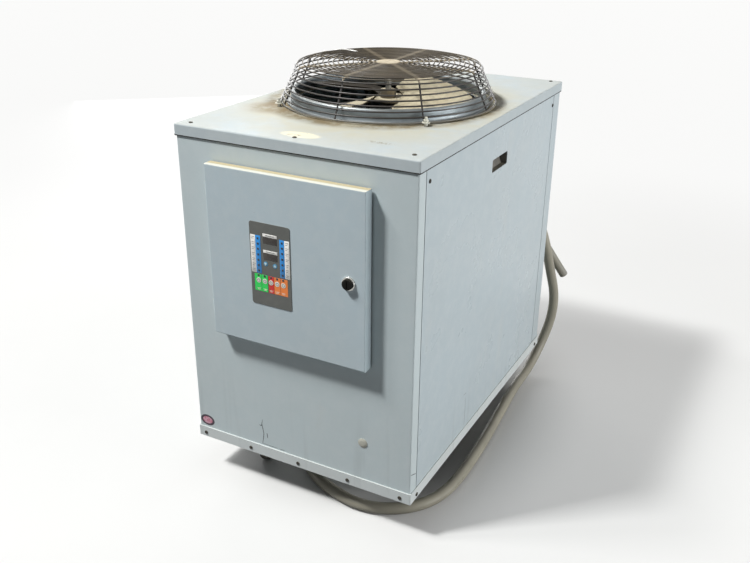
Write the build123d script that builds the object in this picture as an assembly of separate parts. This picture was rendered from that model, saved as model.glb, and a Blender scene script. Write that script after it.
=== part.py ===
from build123d import *
import math
import os

# Portable water chiller on casters. Millimetres, +Z up, front faces -Y, floor at z = 0,
# origin on the floor under the middle of the cabinet.

# Cabinet
BODY_WIDTH = 686.0
BODY_DEPTH = 1034.0
BODY_HEIGHT = 931.0
CASTER_HEIGHT = 112.0
SHEET = 2.0

HALF_W = BODY_WIDTH / 2
FRONT = -BODY_DEPTH / 2
BACK = BODY_DEPTH / 2
BASE = CASTER_HEIGHT
TOP = BASE + BODY_HEIGHT

# Base tray
RAIL_HEIGHT = 32.5
RAIL_PROUD = 3.0
TRAY_SHEET = 3.0
FLOOR_TOP = BASE + TRAY_SHEET

# Panels
FRONT_WRAP = 35.0
BACK_WRAP = 60.0
SEAM_GAP = 3.0
PANEL_BEND = 4.0

# Top cover
COVER_SKIRT = 28.5
COVER_PROUD = 3.5
COVER_BEND = 4.0
FAN_Y = FRONT + 510.0
FAN_OPENING_R = 262.0

# Carrying handles
HANDLE_Y0 = FRONT + 459.0
HANDLE_Y1 = FRONT + 572.0
HANDLE_Z0 = BASE + 781.5
HANDLE_Z1 = BASE + 817.0
HANDLE_DEPTH = 38.0

# Control box and its door
DOOR_X0 = -234.0
DOOR_X1 = 226.0
DOOR_Z0 = BASE + 381.0
DOOR_Z1 = BASE + 849.5
DOOR_FACE = FRONT - 34.0
DOOR_GAP = 5.0
BOX_INSET = 16.0
BOX_X0 = DOOR_X0 + BOX_INSET
BOX_X1 = DOOR_X1 - BOX_INSET
BOX_Z0 = DOOR_Z0 + BOX_INSET
BOX_Z1 = DOOR_Z1 - BOX_INSET
BOX_BACK = FRONT + 150.0
LIP_FACE = FRONT - 20.0
LIP_RETURN = 12.0
HINGE_X = DOOR_X0 - 7.0
HINGE_Y = FRONT - 17.0
HINGE_R = 5.5
PIN_R = 2.5
PIN_PLAY = 0.06
HINGE_ZS = (DOOR_Z0 + 70.0, DOOR_Z1 - 70.0)
KNUCKLE = 18.0

# Keypad, latch and plug on the front
KEYPAD_X0 = -103.5
KEYPAD_X1 = 16.5
KEYPAD_Z0 = BASE + 500.0
KEYPAD_Z1 = BASE + 723.5
KEYPAD_PROUD = 1.2
LATCH_X = 181.0
LATCH_Z = BASE + 613.5
LATCH_BEZEL_R = 18.0
LATCH_HEAD_R = 14.0
LATCH_SHAFT_R = 8.0
LATCH_FACE = FRONT - 46.0
CAM_FRONT = LIP_FACE + SHEET + 5.0
PLUG_X = 202.0
PLUG_Z = BASE + 146.0
PLUG_R = 13.5

# Fan, collar and motor
COLLAR_HEIGHT = 35.0
COLLAR_R = 273.5
SHAFT_R = 8.0
SHAFT_TOP = TOP + 90.0
MOTOR_R = 72.0
MOTOR_TOP = TOP - 46.0
MOTOR_HEIGHT = 130.0
PROP_HUB_Z = TOP + 11.0
PROP_TIP_R = 251.5
BLADE_COUNT = 4
BLADE_START = -62.0
BLADE_SPAN = 74.0
BLADE_RISE = 46.0
BLADE_SHEET = 2.5

# Fan guard
WIRE = 5.0
RING_SIDES = 48
GUARD_RIBS = 8
GUARD_FOOT_R = 301.5
GUARD_SHOULDER_R = 262.5
GUARD_BEND = 19.5
GUARD_FOOT_Z = TOP + 5.5
GUARD_TOP_Z = TOP + 107.5
SIDE_RINGS = 8
SIDE_RING_STEP = 12.9
TOP_RINGS = 16
TOP_RING_R = 253.5
TOP_RING_STEP = 14.05
TOP_WIRE = 3.6
GUARD_HUB_R = 33.0

# Back of the machine
COIL_X0 = -285.0
COIL_X1 = 150.0
COIL_Z0 = BASE + 190.0
COIL_Z1 = BASE + 850.0
COIL_DEPTH = 66.0
PIPE_Z = BASE + 95.0
PIPE_XS = (-190.0, -60.0)
PIPE_R = 16.7
PIPE_BORE_R = 13.3
PIPE_END = BACK + 46.0
VALVE_X = 60.0

# Conduit and hose
CONDUIT_R = 16.7
HOSE_R = 15.0

# Casters
CASTER_X = 205.0
CASTER_Y = 365.0
WHEEL_R = 40.0
WHEEL_WIDTH = 28.0
TRAIL = 26.0
AXLE_R = 5.0
CASTER_HEADINGS = {"front_left": -72.0, "front_right": 95.0, "back_left": 100.0, "back_right": 70.0}


def block(x0, x1, y0, y1, z0, z1):
    """A box between two corners."""
    return Pos((x0 + x1) / 2, (y0 + y1) / 2, (z0 + z1) / 2) * Box(x1 - x0, y1 - y0, z1 - z0)


def rod(x, y, z, radius, length, direction):
    """A cylinder that starts at a point and runs along a direction."""
    return Plane(origin=(x, y, z), z_dir=direction) * Cylinder(
        radius, length, align=(Align.CENTER, Align.CENTER, Align.MIN)
    )


def revolved(points, x=0.0, y=0.0):
    """A closed (radius, height) outline turned about the upright line through x, y."""
    face = make_face(Plane.XZ * Polyline(*points, close=True))
    return Pos(x, y, 0) * revolve(face, Axis.Z, 360)


def save(shape, node):
    """Write one piece to its own file."""
    export_step(shape, "parts/" + node + ".step")
    return shape


def base_tray():
    """Folded tray whose rim stands a little proud of the panels, with two pressed cross channels."""
    half_x = HALF_W + RAIL_PROUD
    half_y = BODY_DEPTH / 2 + RAIL_PROUD
    outer = block(-half_x, half_x, -half_y, half_y, BASE, BASE + RAIL_HEIGHT)
    outer = fillet(outer.edges().filter_by(Axis.Z), 3.0)
    tray = outer - block(-HALF_W, HALF_W, FRONT, BACK, FLOOR_TOP, BASE + RAIL_HEIGHT + 1)
    for side in (-1, 1):
        y = side * CASTER_Y
        hat = block(-HALF_W + 18, HALF_W - 18, y - 45, y + 45, FLOOR_TOP, FLOOR_TOP + 22)
        hollow = block(-HALF_W, HALF_W, y - 42, y + 42, FLOOR_TOP, FLOOR_TOP + 19)
        tray += hat - hollow
    return tray


def wrapped_panel(face_y, wrap, z0, z1):
    """A sheet across the cabinet whose two ends fold round on to the sides, with a top flange."""
    way = 1 if face_y < 0 else -1
    near, far = sorted((face_y, face_y + way * wrap))
    outer = block(-HALF_W, HALF_W, near, far, z0, z1)
    corners = [e for e in outer.edges().filter_by(Axis.Z) if abs(e.center().Y - face_y) < 0.01]
    outer = fillet(corners, PANEL_BEND)
    near, far = sorted((face_y + way * SHEET, face_y + way * (wrap + 1)))
    inner = block(-HALF_W + SHEET, HALF_W - SHEET, near, far, z0 - 1, z1 - SHEET)
    corners = [e for e in inner.edges().filter_by(Axis.Z) if abs(e.center().Y - face_y) < SHEET + 1]
    inner = fillet(corners, PANEL_BEND - SHEET)
    return outer - inner


def front_panel():
    """Front sheet with the window of the control box and the hole of the plug."""
    panel = wrapped_panel(FRONT, FRONT_WRAP, FLOOR_TOP, TOP - SHEET)
    panel -= block(BOX_X0, BOX_X1, FRONT - 1, FRONT + SHEET + 1, BOX_Z0, BOX_Z1)
    panel -= rod(PLUG_X, FRONT - 1, PLUG_Z, PLUG_R - 3, SHEET + 2, (0, 1, 0))
    return panel


def side_panel(side):
    """Side sheet with returned front and back edges and the window of the handle cup."""
    y0 = FRONT + FRONT_WRAP + SEAM_GAP
    y1 = BACK - BACK_WRAP - SEAM_GAP
    x0, x1 = sorted((side * HALF_W, side * (HALF_W - SHEET)))
    panel = block(x0, x1, y0, y1, FLOOR_TOP, TOP - SHEET)
    deep = HALF_W - 16.0
    x0, x1 = sorted((side * HALF_W, side * deep))
    panel += block(x0, x1, y0, y0 + SHEET, FLOOR_TOP, TOP - SHEET)
    panel += block(x0, x1, y1 - SHEET, y1, FLOOR_TOP, TOP - SHEET)
    window = block(-HALF_W - 1, HALF_W + 1, HANDLE_Y0, HANDLE_Y1, HANDLE_Z0, HANDLE_Z1)
    window = fillet(window.edges().filter_by(Axis.X), 4.0)
    if side < 0:
        return panel - (window & block(-HALF_W - 1, 0, -BODY_DEPTH, BODY_DEPTH, 0, 2000))
    return panel - (window & block(0, HALF_W + 1, -BODY_DEPTH, BODY_DEPTH, 0, 2000))


def handle_cup(side):
    """Moulded cup behind the handle window: a closed pocket with a sloped flap over its back."""
    wall = 2.0
    face = side * (HALF_W - SHEET)
    back = side * (HALF_W - SHEET - HANDLE_DEPTH)
    x0, x1 = sorted((face, back))
    outer = block(x0, x1, HANDLE_Y0 - wall, HANDLE_Y1 + wall, HANDLE_Z0 - wall, HANDLE_Z1 + 26)
    x0, x1 = sorted((face + side, back + side * wall))
    hollow = block(x0, x1, HANDLE_Y0, HANDLE_Y1, HANDLE_Z0, HANDLE_Z1 + 24)
    cup = outer - hollow
    x0, x1 = sorted((face, face - side * wall))
    cup += block(x0, x1, HANDLE_Y0 - wall, HANDLE_Y1 + wall, HANDLE_Z1, HANDLE_Z1 + 26)
    foot = Vector(face - side * 14, HANDLE_Y0, HANDLE_Z0)
    flap = make_face(
        Plane(origin=foot, x_dir=(-side, 0, 0), z_dir=(0, side, 0))
        * Polyline((0, 0), (3, 0), (16, 30), (13, 30), close=True)
    )
    return cup + extrude(flap, HANDLE_Y1 - HANDLE_Y0, dir=(0, 1, 0))


def back_panel():
    """Back sheet with the air intake, two water connections, a valve and two fitting holes."""
    panel = wrapped_panel(BACK, BACK_WRAP, FLOOR_TOP, TOP - SHEET)
    panel -= block(COIL_X0, COIL_X1, BACK - 4, BACK + 1, COIL_Z0, COIL_Z1)
    for x in PIPE_XS:
        panel -= rod(x, BACK - 4, PIPE_Z, PIPE_R, 6, (0, 1, 0))
    panel -= rod(VALVE_X, BACK - 4, PIPE_Z, 10.0, 6, (0, 1, 0))
    panel -= rod(CONDUIT_ROOT.X, BACK - 4, CONDUIT_ROOT.Z, CONDUIT_R, 6, (0, 1, 0))
    panel -= rod(HOSE_ROOT.X, BACK - 4, HOSE_ROOT.Z, HOSE_R, 6, (0, 1, 0))
    return panel


def top_cover():
    """Shallow lid with a rounded top edge, a skirt over the panels and the fan's round opening."""
    half_x = HALF_W + COVER_PROUD
    y0 = FRONT - COVER_PROUD
    y1 = BACK + COVER_PROUD
    lid = block(-half_x, half_x, y0, y1, TOP - COVER_SKIRT, TOP)
    lid = fillet(lid.edges().filter_by(Axis.Z), COVER_BEND)
    lid = fillet(lid.faces().sort_by(Axis.Z)[-1].edges(), COVER_BEND)
    half_x -= SHEET
    inner = block(-half_x, half_x, y0 + SHEET, y1 - SHEET, TOP - COVER_SKIRT - 1, TOP - SHEET)
    inner = fillet(inner.edges().filter_by(Axis.Z), COVER_BEND - SHEET)
    inner = fillet(inner.faces().sort_by(Axis.Z)[-1].edges(), COVER_BEND - SHEET)
    lid -= inner
    return lid - Pos(0, FAN_Y, TOP) * Cylinder(FAN_OPENING_R, 20)


def fan_collar():
    """Raised ring round the fan: a foot on the cover, an upright band and a rolled lip."""
    lip_r = 6.0
    top = TOP + COLLAR_HEIGHT
    profile = [
        (COLLAR_R - 8, TOP),
        (COLLAR_R + 12, TOP),
        (COLLAR_R + 12, TOP + 2),
        (COLLAR_R, TOP + 2),
    ]
    for step in range(0, 7):
        angle = math.radians(30 * step)
        profile.append((COLLAR_R - lip_r + lip_r * math.cos(angle), top - lip_r + lip_r * math.sin(angle)))
    profile.append((COLLAR_R - 2 * lip_r + 2, top - lip_r))
    for step in range(5, -1, -1):
        angle = math.radians(30 * step)
        inner = lip_r - 2
        profile.append((COLLAR_R - lip_r + inner * math.cos(angle), top - lip_r + inner * math.sin(angle)))
    profile.append((COLLAR_R - 2, TOP + 2))
    profile.append((COLLAR_R - 8, TOP + 2))
    return revolved(profile, 0, FAN_Y)


def ring(radius, height, thickness=WIRE):
    """One wire ring as a band with a square section and flat sides."""
    outer = RegularPolygon(radius + thickness / 2, RING_SIDES)
    inner = RegularPolygon(radius - thickness / 2, RING_SIDES)
    return Pos(0, FAN_Y, height - thickness / 2) * extrude(outer - inner, thickness)


def shoulder_place(angle, inset=0.0):
    """Radius and height on the rounded shoulder: 0 degrees where the side ends, 90 where the top begins."""
    reach = GUARD_BEND - inset
    turn = math.radians(angle)
    middle_r = GUARD_SHOULDER_R - GUARD_BEND
    return middle_r + reach * math.cos(turn), GUARD_TOP_Z - GUARD_BEND + reach * math.sin(turn)


def side_ring_place(index):
    """Radius and height of one ring on the guard's side: a straight taper, then the shoulder's bend."""
    height = GUARD_FOOT_Z + SIDE_RING_STEP * index
    bend_z = GUARD_TOP_Z - GUARD_BEND
    if height > bend_z:
        return shoulder_place(math.degrees(math.asin((height - bend_z) / GUARD_BEND)))
    share = (height - GUARD_FOOT_Z) / (bend_z - GUARD_FOOT_Z)
    return GUARD_FOOT_R - (GUARD_FOOT_R - GUARD_SHOULDER_R) * share, height


def guard_side_rings():
    """The wires that go round the guard's sloping side."""
    return Compound([ring(*side_ring_place(index)) for index in range(SIDE_RINGS)])


def top_ring_place(index):
    """Radius and height of one ring on the guard's flat top."""
    radius = TOP_RING_R - TOP_RING_STEP * index
    over = max(0.0, radius - (GUARD_SHOULDER_R - GUARD_BEND))
    return radius, GUARD_TOP_Z - GUARD_BEND + math.sqrt(GUARD_BEND**2 - over**2)


def guard_top_rings():
    """The rings on top of the guard."""
    return Compound([ring(*top_ring_place(index), TOP_WIRE) for index in range(TOP_RINGS)])


def guard_rib(angle):
    """One bent wire from the hub, over the shoulder and down to the foot ring."""
    depth = 4.0
    points = [(GUARD_HUB_R - 12, GUARD_TOP_Z - 0.75 * WIRE)]
    for step in range(5, -1, -1):
        points.append(shoulder_place(18 * step, depth))
    points.append((GUARD_FOOT_R - depth, GUARD_FOOT_Z))
    path = [Vector(r, 0, z) for r, z in points]
    line = Polyline(*path)
    section = Plane(origin=line @ 0, z_dir=line % 0) * RegularPolygon(WIRE / 2, 6)
    wire = sweep(section, path=line, transition=Transition.RIGHT)
    return Pos(0, FAN_Y, 0) * Rot(0, 0, angle) * wire


def guard_ribs():
    """The ribs, evenly spaced, which don't meet at the middle."""
    return Compound([guard_rib(360.0 / GUARD_RIBS * index) for index in range(GUARD_RIBS)])


def guard_hub():
    """Round plate over the ribs' inner ends."""
    plate = Pos(0, FAN_Y, GUARD_TOP_Z) * Cylinder(GUARD_HUB_R, 3.0)
    return fillet(plate.edges().group_by(Axis.Z)[-1], 1.2)


def guard_clips():
    """Four stand-off clips with a bolt head, which hold the foot ring to the cover."""
    clips = []
    seat = GUARD_FOOT_Z + WIRE / 2
    for angle in (45, 135, 225, 315):
        radius = GUARD_FOOT_R + 11
        post = rod(radius, 0, TOP, 5.0, seat - TOP, (0, 0, 1))
        washer = rod(radius, 0, seat, 11.0, 2.0, (0, 0, 1))
        nut = Pos(radius, 0, seat + 2) * extrude(RegularPolygon(7.5, 6), 6.0)
        bolt = rod(radius, 0, seat + 8, 4.0, 7.0, (0, 0, 1))
        clips.append(Pos(0, FAN_Y, 0) * Rot(0, 0, angle) * (post + washer + nut + bolt))
    return Compound(clips)


def fan_propeller():
    """Pressed-sheet propeller with a round spider and a clamped centre hub."""
    spider = Pos(0, 0, PROP_HUB_Z - 4) * Cylinder(62.0, 4.0)
    hub = Pos(0, 0, PROP_HUB_Z) * Cylinder(22.0, 40.0)
    body = spider + hub
    for index in range(BLADE_COUNT):
        body += blade_solid(BLADE_START + index * 360.0 / BLADE_COUNT)
    body -= Pos(0, 0, PROP_HUB_Z) * Cylinder(SHAFT_R, 80.0)
    return Pos(0, FAN_Y, 0) * body


def blade_solid(start):
    """A helical blade, cut from a twisted sheet by its own plan outline."""
    inner_r = 50.0
    slope = BLADE_RISE / math.radians(BLADE_SPAN)
    middle = start + BLADE_SPAN / 2
    rise = slope * math.radians(BLADE_SPAN)
    pieces = []
    for index in range(2):
        radius = (inner_r, PROP_TIP_R)[index]
        points = []
        for step in range(9):
            angle = math.radians(start + BLADE_SPAN * step / 8)
            points.append((radius * math.cos(angle), radius * math.sin(angle), PROP_HUB_Z - rise / 2 + rise * step / 8))
        pieces.append(Spline(*points))
    sheet = Face.make_surface_from_curves(pieces[0].edge(), pieces[1].edge())
    solid = thicken(sheet, BLADE_SHEET / 2, both=True)
    corner = 46.0
    plan = blade_plan(inner_r - 5, PROP_TIP_R, start, middle, corner)
    return solid & plan


def blade_plan(inner_r, tip_r, start, middle, corner):
    """Upright block with the blade's plan: a sector with generously rounded tip corners."""
    half = BLADE_SPAN / 2 - 2.0
    root = 0.72 * half
    a = (inner_r * math.cos(math.radians(-root)), inner_r * math.sin(math.radians(-root)))
    b = (tip_r * math.cos(math.radians(-half)), tip_r * math.sin(math.radians(-half)))
    c = (tip_r, 0.0)
    d = (b[0], -b[1])
    e = (a[0], -a[1])
    edge = Line(a, b) + ThreePointArc(b, c, d) + Line(d, e) + Line(e, a)
    face = make_face(edge)
    tips = [v for v in face.vertices() if math.hypot(v.X, v.Y) > tip_r - 1]
    face = fillet(tips, corner)
    block_z = extrude(face, 200.0)
    return Pos(0, 0, PROP_HUB_Z - 100.0) * Rot(0, 0, middle) * block_z


def fan_shaft():
    """Motor shaft, which stands well above the propeller."""
    shaft = Pos(0, FAN_Y, MOTOR_TOP + 6) * Cylinder(
        SHAFT_R, SHAFT_TOP - MOTOR_TOP - 6, align=(Align.CENTER, Align.CENTER, Align.MIN)
    )
    return chamfer(shaft.edges().group_by(Axis.Z)[-1], 1.5)


def fan_motor():
    """Round motor under the propeller, with domed ends and a rain slinger cap."""
    low = MOTOR_TOP - MOTOR_HEIGHT
    body = Pos(0, FAN_Y, low) * Cylinder(MOTOR_R, MOTOR_HEIGHT, align=(Align.CENTER, Align.CENTER, Align.MIN))
    body = fillet(body.edges().filter_by(GeomType.CIRCLE), 9.0)
    return body - Pos(0, FAN_Y, MOTOR_TOP) * Cylinder(SHAFT_R + 2.0, 40.0)


def motor_bracket():
    """Four flat arms from a band round the motor to the underside of the cover."""
    band = Pos(0, FAN_Y, MOTOR_TOP - 60) * (Cylinder(MOTOR_R + 3, 24.0) - Cylinder(MOTOR_R, 30.0))
    parts = band
    for index in range(4):
        arm = block(MOTOR_R + 2, COLLAR_R + 8, -12, 12, MOTOR_TOP - 62, MOTOR_TOP - 59)
        leg = block(COLLAR_R + 5, COLLAR_R + 8, -12, 12, MOTOR_TOP - 62, TOP - SHEET)
        parts += Pos(0, FAN_Y, 0) * Rot(0, 0, 45 + 90 * index) * (arm + leg)
    return parts


def control_box():
    """Deep sheet tub behind the front panel; its rim comes forward and returns inwards."""
    tub = block(BOX_X0, BOX_X1, LIP_FACE, BOX_BACK, BOX_Z0, BOX_Z1)
    tub -= block(BOX_X0 + SHEET, BOX_X1 - SHEET, LIP_FACE + SHEET, BOX_BACK - SHEET, BOX_Z0 + SHEET, BOX_Z1 - SHEET)
    mouth = block(
        BOX_X0 + LIP_RETURN + SHEET,
        BOX_X1 - LIP_RETURN - SHEET,
        LIP_FACE - 1,
        LIP_FACE + SHEET + 1,
        BOX_Z0 + LIP_RETURN + SHEET,
        BOX_Z1 - LIP_RETURN - SHEET,
    )
    return tub - mouth


def sub_panel():
    """Mounting plate at the back of the box, on four corner spacers."""
    plate_y = BOX_BACK - SHEET - 14.0
    x0, x1 = BOX_X0 + 22, BOX_X1 - 22
    z0, z1 = BOX_Z0 + 22, BOX_Z1 - 22
    plate = block(x0, x1, plate_y - 2.5, plate_y, z0, z1)
    for x in (x0 + 15, x1 - 15):
        for z in (z0 + 15, z1 - 15):
            plate += rod(x, plate_y, z, 6.0, 14.0, (0, 1, 0))
    return plate


def switchgear():
    """Contactors on a rail, a control transformer and a terminal strip, on the mounting plate."""
    y = BOX_BACK - SHEET - 16.5
    pieces = []
    for index in range(3):
        x = -150.0 + 62.0 * index
        z = BOX_Z0 + 270.0
        body = block(x - 24, x + 24, y - 70, y, z, z + 82)
        body -= block(x - 18, x + 18, y - 71, y - 58, z + 58, z + 83)
        body -= block(x - 18, x + 18, y - 71, y - 58, z - 1, z + 24)
        pieces.append(body)
    pieces.append(block(85, 165, y - 72, y, BOX_Z0 + 275, BOX_Z0 + 350))
    strip = block(-150, 150, y - 32, y, BOX_Z0 + 60, BOX_Z0 + 96)
    for index in range(12):
        x = -138.0 + 24.5 * index
        strip -= block(x - 5, x + 5, y - 33, y - 20, BOX_Z0 + 66, BOX_Z0 + 90)
    pieces.append(strip)
    return Compound(pieces)


def door_skin():
    """Folded door pan, open at the back, with a hole for the latch."""
    back = FRONT - DOOR_GAP
    pan = block(DOOR_X0, DOOR_X1, DOOR_FACE, back, DOOR_Z0, DOOR_Z1)
    front_edges = pan.faces().sort_by(Axis.Y)[0].edges()
    pan = fillet(front_edges, 2.5)
    pan -= block(DOOR_X0 + SHEET, DOOR_X1 - SHEET, DOOR_FACE + SHEET, back + 1, DOOR_Z0 + SHEET, DOOR_Z1 - SHEET)
    return pan - rod(LATCH_X, DOOR_FACE - 1, LATCH_Z, LATCH_SHAFT_R + 3, 5, (0, 1, 0))


def door_gasket():
    """Foam seal on the inside of the door, opposite the rim of the box."""
    y0 = DOOR_FACE + SHEET
    y1 = LIP_FACE - 5.0
    strip = block(BOX_X0 + 1, BOX_X1 - 1, y0, y1, BOX_Z0 + 1, BOX_Z1 - 1)
    return strip - block(BOX_X0 + 12, BOX_X1 - 12, y0 - 1, y1 + 1, BOX_Z0 + 12, BOX_Z1 - 12)


def keypad():
    """Membrane keypad plate on the door."""
    plate = block(KEYPAD_X0, KEYPAD_X1, DOOR_FACE - KEYPAD_PROUD, DOOR_FACE, KEYPAD_Z0, KEYPAD_Z1)
    return fillet(plate.edges().filter_by(Axis.Y), 6.0)


def latch_bezel():
    """Plated ring of the quarter-turn latch, fixed in the door."""
    front = DOOR_FACE - 5.0
    bezel = rod(LATCH_X, front, LATCH_Z, LATCH_BEZEL_R, 5.0, (0, 1, 0))
    bezel = fillet(bezel.edges().group_by(Axis.Y)[0], 2.0)
    barrel = rod(LATCH_X, DOOR_FACE, LATCH_Z, LATCH_SHAFT_R + 3, 12.0, (0, 1, 0))
    return (bezel + barrel) - rod(LATCH_X, front - 1, LATCH_Z, LATCH_SHAFT_R + PIN_PLAY, 30, (0, 1, 0))


def latch_head():
    """Round knob with a slot, its shaft and the cam behind the door; the cam hangs down at rest."""
    front = LATCH_FACE
    head = rod(LATCH_X, front, LATCH_Z, LATCH_HEAD_R, DOOR_FACE - 5.5 - front, (0, 1, 0))
    head = fillet(head.edges().group_by(Axis.Y)[0], 1.5)
    head -= block(LATCH_X - 1.6, LATCH_X + 1.6, front - 1, front + 2, LATCH_Z - 11, LATCH_Z + 11)
    shaft = rod(LATCH_X, DOOR_FACE - 6, LATCH_Z, LATCH_SHAFT_R, CAM_FRONT + 3 - DOOR_FACE + 6, (0, 1, 0))
    cam = block(LATCH_X - 8, LATCH_X + 8, CAM_FRONT, CAM_FRONT + 3, LATCH_Z - 24, LATCH_Z)
    cam += rod(LATCH_X, CAM_FRONT, LATCH_Z, 9.5, 3.0, (0, 1, 0))
    return head + shaft + cam


def hinge_sockets():
    """The fixed halves of the door hinges: a foot on the front panel, a lower knuckle and its pin."""
    halves = []
    for z in HINGE_ZS:
        foot = block(HINGE_X - 18, HINGE_X - 2, FRONT - 2.5, FRONT, z - KNUCKLE, z)
        arm = block(HINGE_X - 5.5, HINGE_X - 2.5, HINGE_Y, FRONT, z - KNUCKLE, z)
        barrel = rod(HINGE_X, HINGE_Y, z - KNUCKLE, HINGE_R, KNUCKLE, (0, 0, 1))
        pin = rod(HINGE_X, HINGE_Y, z - 1, PIN_R, KNUCKLE - 2, (0, 0, 1))
        halves.append(foot + arm + barrel + pin)
    return Compound(halves)


def hinge_leaves():
    """The door's halves of the hinges: an upper knuckle on a lug against the door's edge."""
    halves = []
    for z in HINGE_ZS:
        low = z + 0.6
        barrel = rod(HINGE_X, HINGE_Y, low, HINGE_R, KNUCKLE, (0, 0, 1))
        lug = block(HINGE_X, DOOR_X0, HINGE_Y - 3, HINGE_Y + 3, low, low + KNUCKLE)
        bore = rod(HINGE_X, HINGE_Y, low - 1, PIN_R + PIN_PLAY, KNUCKLE - 1, (0, 0, 1))
        halves.append(barrel + lug - bore)
    return Compound(halves)


def plug_button():
    """Domed plug in the lower front panel, with its snap-in neck."""
    dome = revolved([(0, 0), (PLUG_R - 3, 0), (PLUG_R - 3, 6), (PLUG_R, 6), (PLUG_R, 7.2), (8, 9.0), (0, 9.4)])
    return Pos(PLUG_X, FRONT + 6, PLUG_Z) * Rot(90, 0, 0) * dome


def intake_grille():
    """Louvred filter frame in the back panel's opening."""
    frame = block(COIL_X0, COIL_X1, BACK - 10, BACK + 2, COIL_Z0, COIL_Z1)
    frame -= block(COIL_X0 + 16, COIL_X1 - 16, BACK - 11, BACK + 3, COIL_Z0 + 16, COIL_Z1 - 16)
    pitch = 19.0
    count = int((COIL_Z1 - COIL_Z0 - 32) / pitch)
    for index in range(count):
        z = COIL_Z0 + 16 + pitch * (index + 0.5)
        slat = Pos((COIL_X0 + COIL_X1) / 2, BACK - 4, z) * Rot(38, 0, 0) * Box(COIL_X1 - COIL_X0 - 30, 11.0, 1.6)
        frame += slat
    post_x = (COIL_X0 + COIL_X1) / 2
    return frame + block(post_x - 4, post_x + 4, BACK - 10, BACK - 7.5, COIL_Z0 + 14, COIL_Z1 - 14)


def condenser_coil():
    """Finned coil block behind the intake, with return bends on one side and two mounting flanges."""
    y1 = BACK - 14.0
    y0 = y1 - COIL_DEPTH
    x0, x1 = COIL_X0 - 20, COIL_X1 + 20
    coil = block(x0, x1, y0, y1, COIL_Z0 - 10, COIL_Z1 + 10)
    for index in range(8):
        z = COIL_Z0 + 45 + 82.0 * index
        bend = Pos(x1, (y0 + y1) / 2, z) * Rot(90, 0, 0) * Torus(18.0, 4.8)
        coil += bend
    for near in (x0 + 2, x1 - 17):
        coil += block(near, near + 15, y1, BACK - SHEET, COIL_Z0, COIL_Z1)
    return coil


def water_stub(x):
    """Threaded pipe nipple with a hexagon collar and an open bore."""
    pipe = rod(x, BACK - 20, PIPE_Z, PIPE_R, PIPE_END - BACK + 20, (0, 1, 0))
    collar = Plane(origin=(x, BACK, PIPE_Z), z_dir=(0, 1, 0)) * extrude(RegularPolygon(27.0, 6), 14.0)
    flange = rod(x, BACK - 6, PIPE_Z, 25.0, 4.0, (0, 1, 0))
    return pipe + collar + flange - rod(x, BACK - 30, PIPE_Z, PIPE_BORE_R, 100, (0, 1, 0))


def drain_valve():
    """Small drain cock beside the water connections."""
    stem = rod(VALVE_X, BACK - 16, PIPE_Z, 10.0, 32.0, (0, 1, 0))
    nut = Plane(origin=(VALVE_X, BACK, PIPE_Z), z_dir=(0, 1, 0)) * extrude(RegularPolygon(16.0, 6), 9.0)
    spout = rod(VALVE_X, BACK + 30, PIPE_Z + 6, 8.0, 34.0, (0, 0, -1))
    lever = block(VALVE_X - 5, VALVE_X + 5, BACK + 25, BACK + 28, PIPE_Z + 6, PIPE_Z + 46)
    neck = rod(VALVE_X, BACK + 14, PIPE_Z, 9.0, 18.0, (0, 1, 0))
    return stem + nut + neck + spout + lever


# Places of the two fittings on the back panel, and the way their outlets point
CONDUIT_ROOT = Vector(290.0, BACK, BASE + 463.0)
CONDUIT_AIM = Vector(math.sin(math.radians(20)), 0.05, -math.cos(math.radians(20))).normalized()
HOSE_ROOT = Vector(218.0, BACK, BASE + 508.0)
HOSE_AIM = Vector(0.42, 0.34, -0.84).normalized()
ELBOW_REACH = 50.0
CONDUIT_OUTLET = CONDUIT_ROOT + Vector(0, ELBOW_REACH, 0) + CONDUIT_AIM * 46.0
HOSE_OUTLET = HOSE_ROOT + Vector(0, ELBOW_REACH - 6, 0) + HOSE_AIM * 40.0

FLOOR_LINE = CONDUIT_R + 0.3

CONDUIT_ROUTE = [
    CONDUIT_OUTLET,
    CONDUIT_OUTLET + CONDUIT_AIM * 68.0,
    Vector(345.0, 595.0, 369.0),
    Vector(366.0, 613.0, 270.0),
    Vector(361.0, 615.0, 170.0),
    Vector(343.0, 569.0, 80.0),
    Vector(331.0, 478.0, 21.0),
    Vector(328.0, 360.0, FLOOR_LINE),
    Vector(337.0, 235.0, FLOOR_LINE),
    Vector(348.0, 110.0, FLOOR_LINE),
    Vector(357.0, -5.0, FLOOR_LINE),
    Vector(362.0, -110.0, FLOOR_LINE),
    Vector(364.0, -205.0, FLOOR_LINE),
    Vector(360.0, -291.0, FLOOR_LINE),
    Vector(337.0, -367.0, FLOOR_LINE),
    Vector(292.0, -425.0, FLOOR_LINE),
    Vector(231.0, -462.0, FLOOR_LINE),
    Vector(162.0, -475.0, FLOOR_LINE),
    Vector(93.0, -463.0, FLOOR_LINE),
    Vector(28.0, -439.0, FLOOR_LINE),
    Vector(-32.0, -405.0, FLOOR_LINE),
    Vector(-83.0, -355.0, FLOOR_LINE),
    Vector(-121.0, -293.0, FLOOR_LINE),
    Vector(-146.0, -222.0, FLOOR_LINE),
    Vector(-168.0, -153.0, FLOOR_LINE),
    Vector(-177.0, -70.0, FLOOR_LINE),
    Vector(-176.0, 13.0, FLOOR_LINE),
    Vector(-158.0, 93.0, FLOOR_LINE),
    Vector(-115.0, 165.0, FLOOR_LINE),
    Vector(-47.0, 213.0, FLOOR_LINE),
    Vector(30.0, 228.0, FLOOR_LINE),
    Vector(108.0, 211.0, FLOOR_LINE),
    Vector(172.0, 165.0, FLOOR_LINE),
    Vector(213.0, 96.0, FLOOR_LINE),
    Vector(223.0, 16.0, FLOOR_LINE + 1.5),
    Vector(213.0, -46.0, FLOOR_LINE + 5.5),
]

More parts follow.
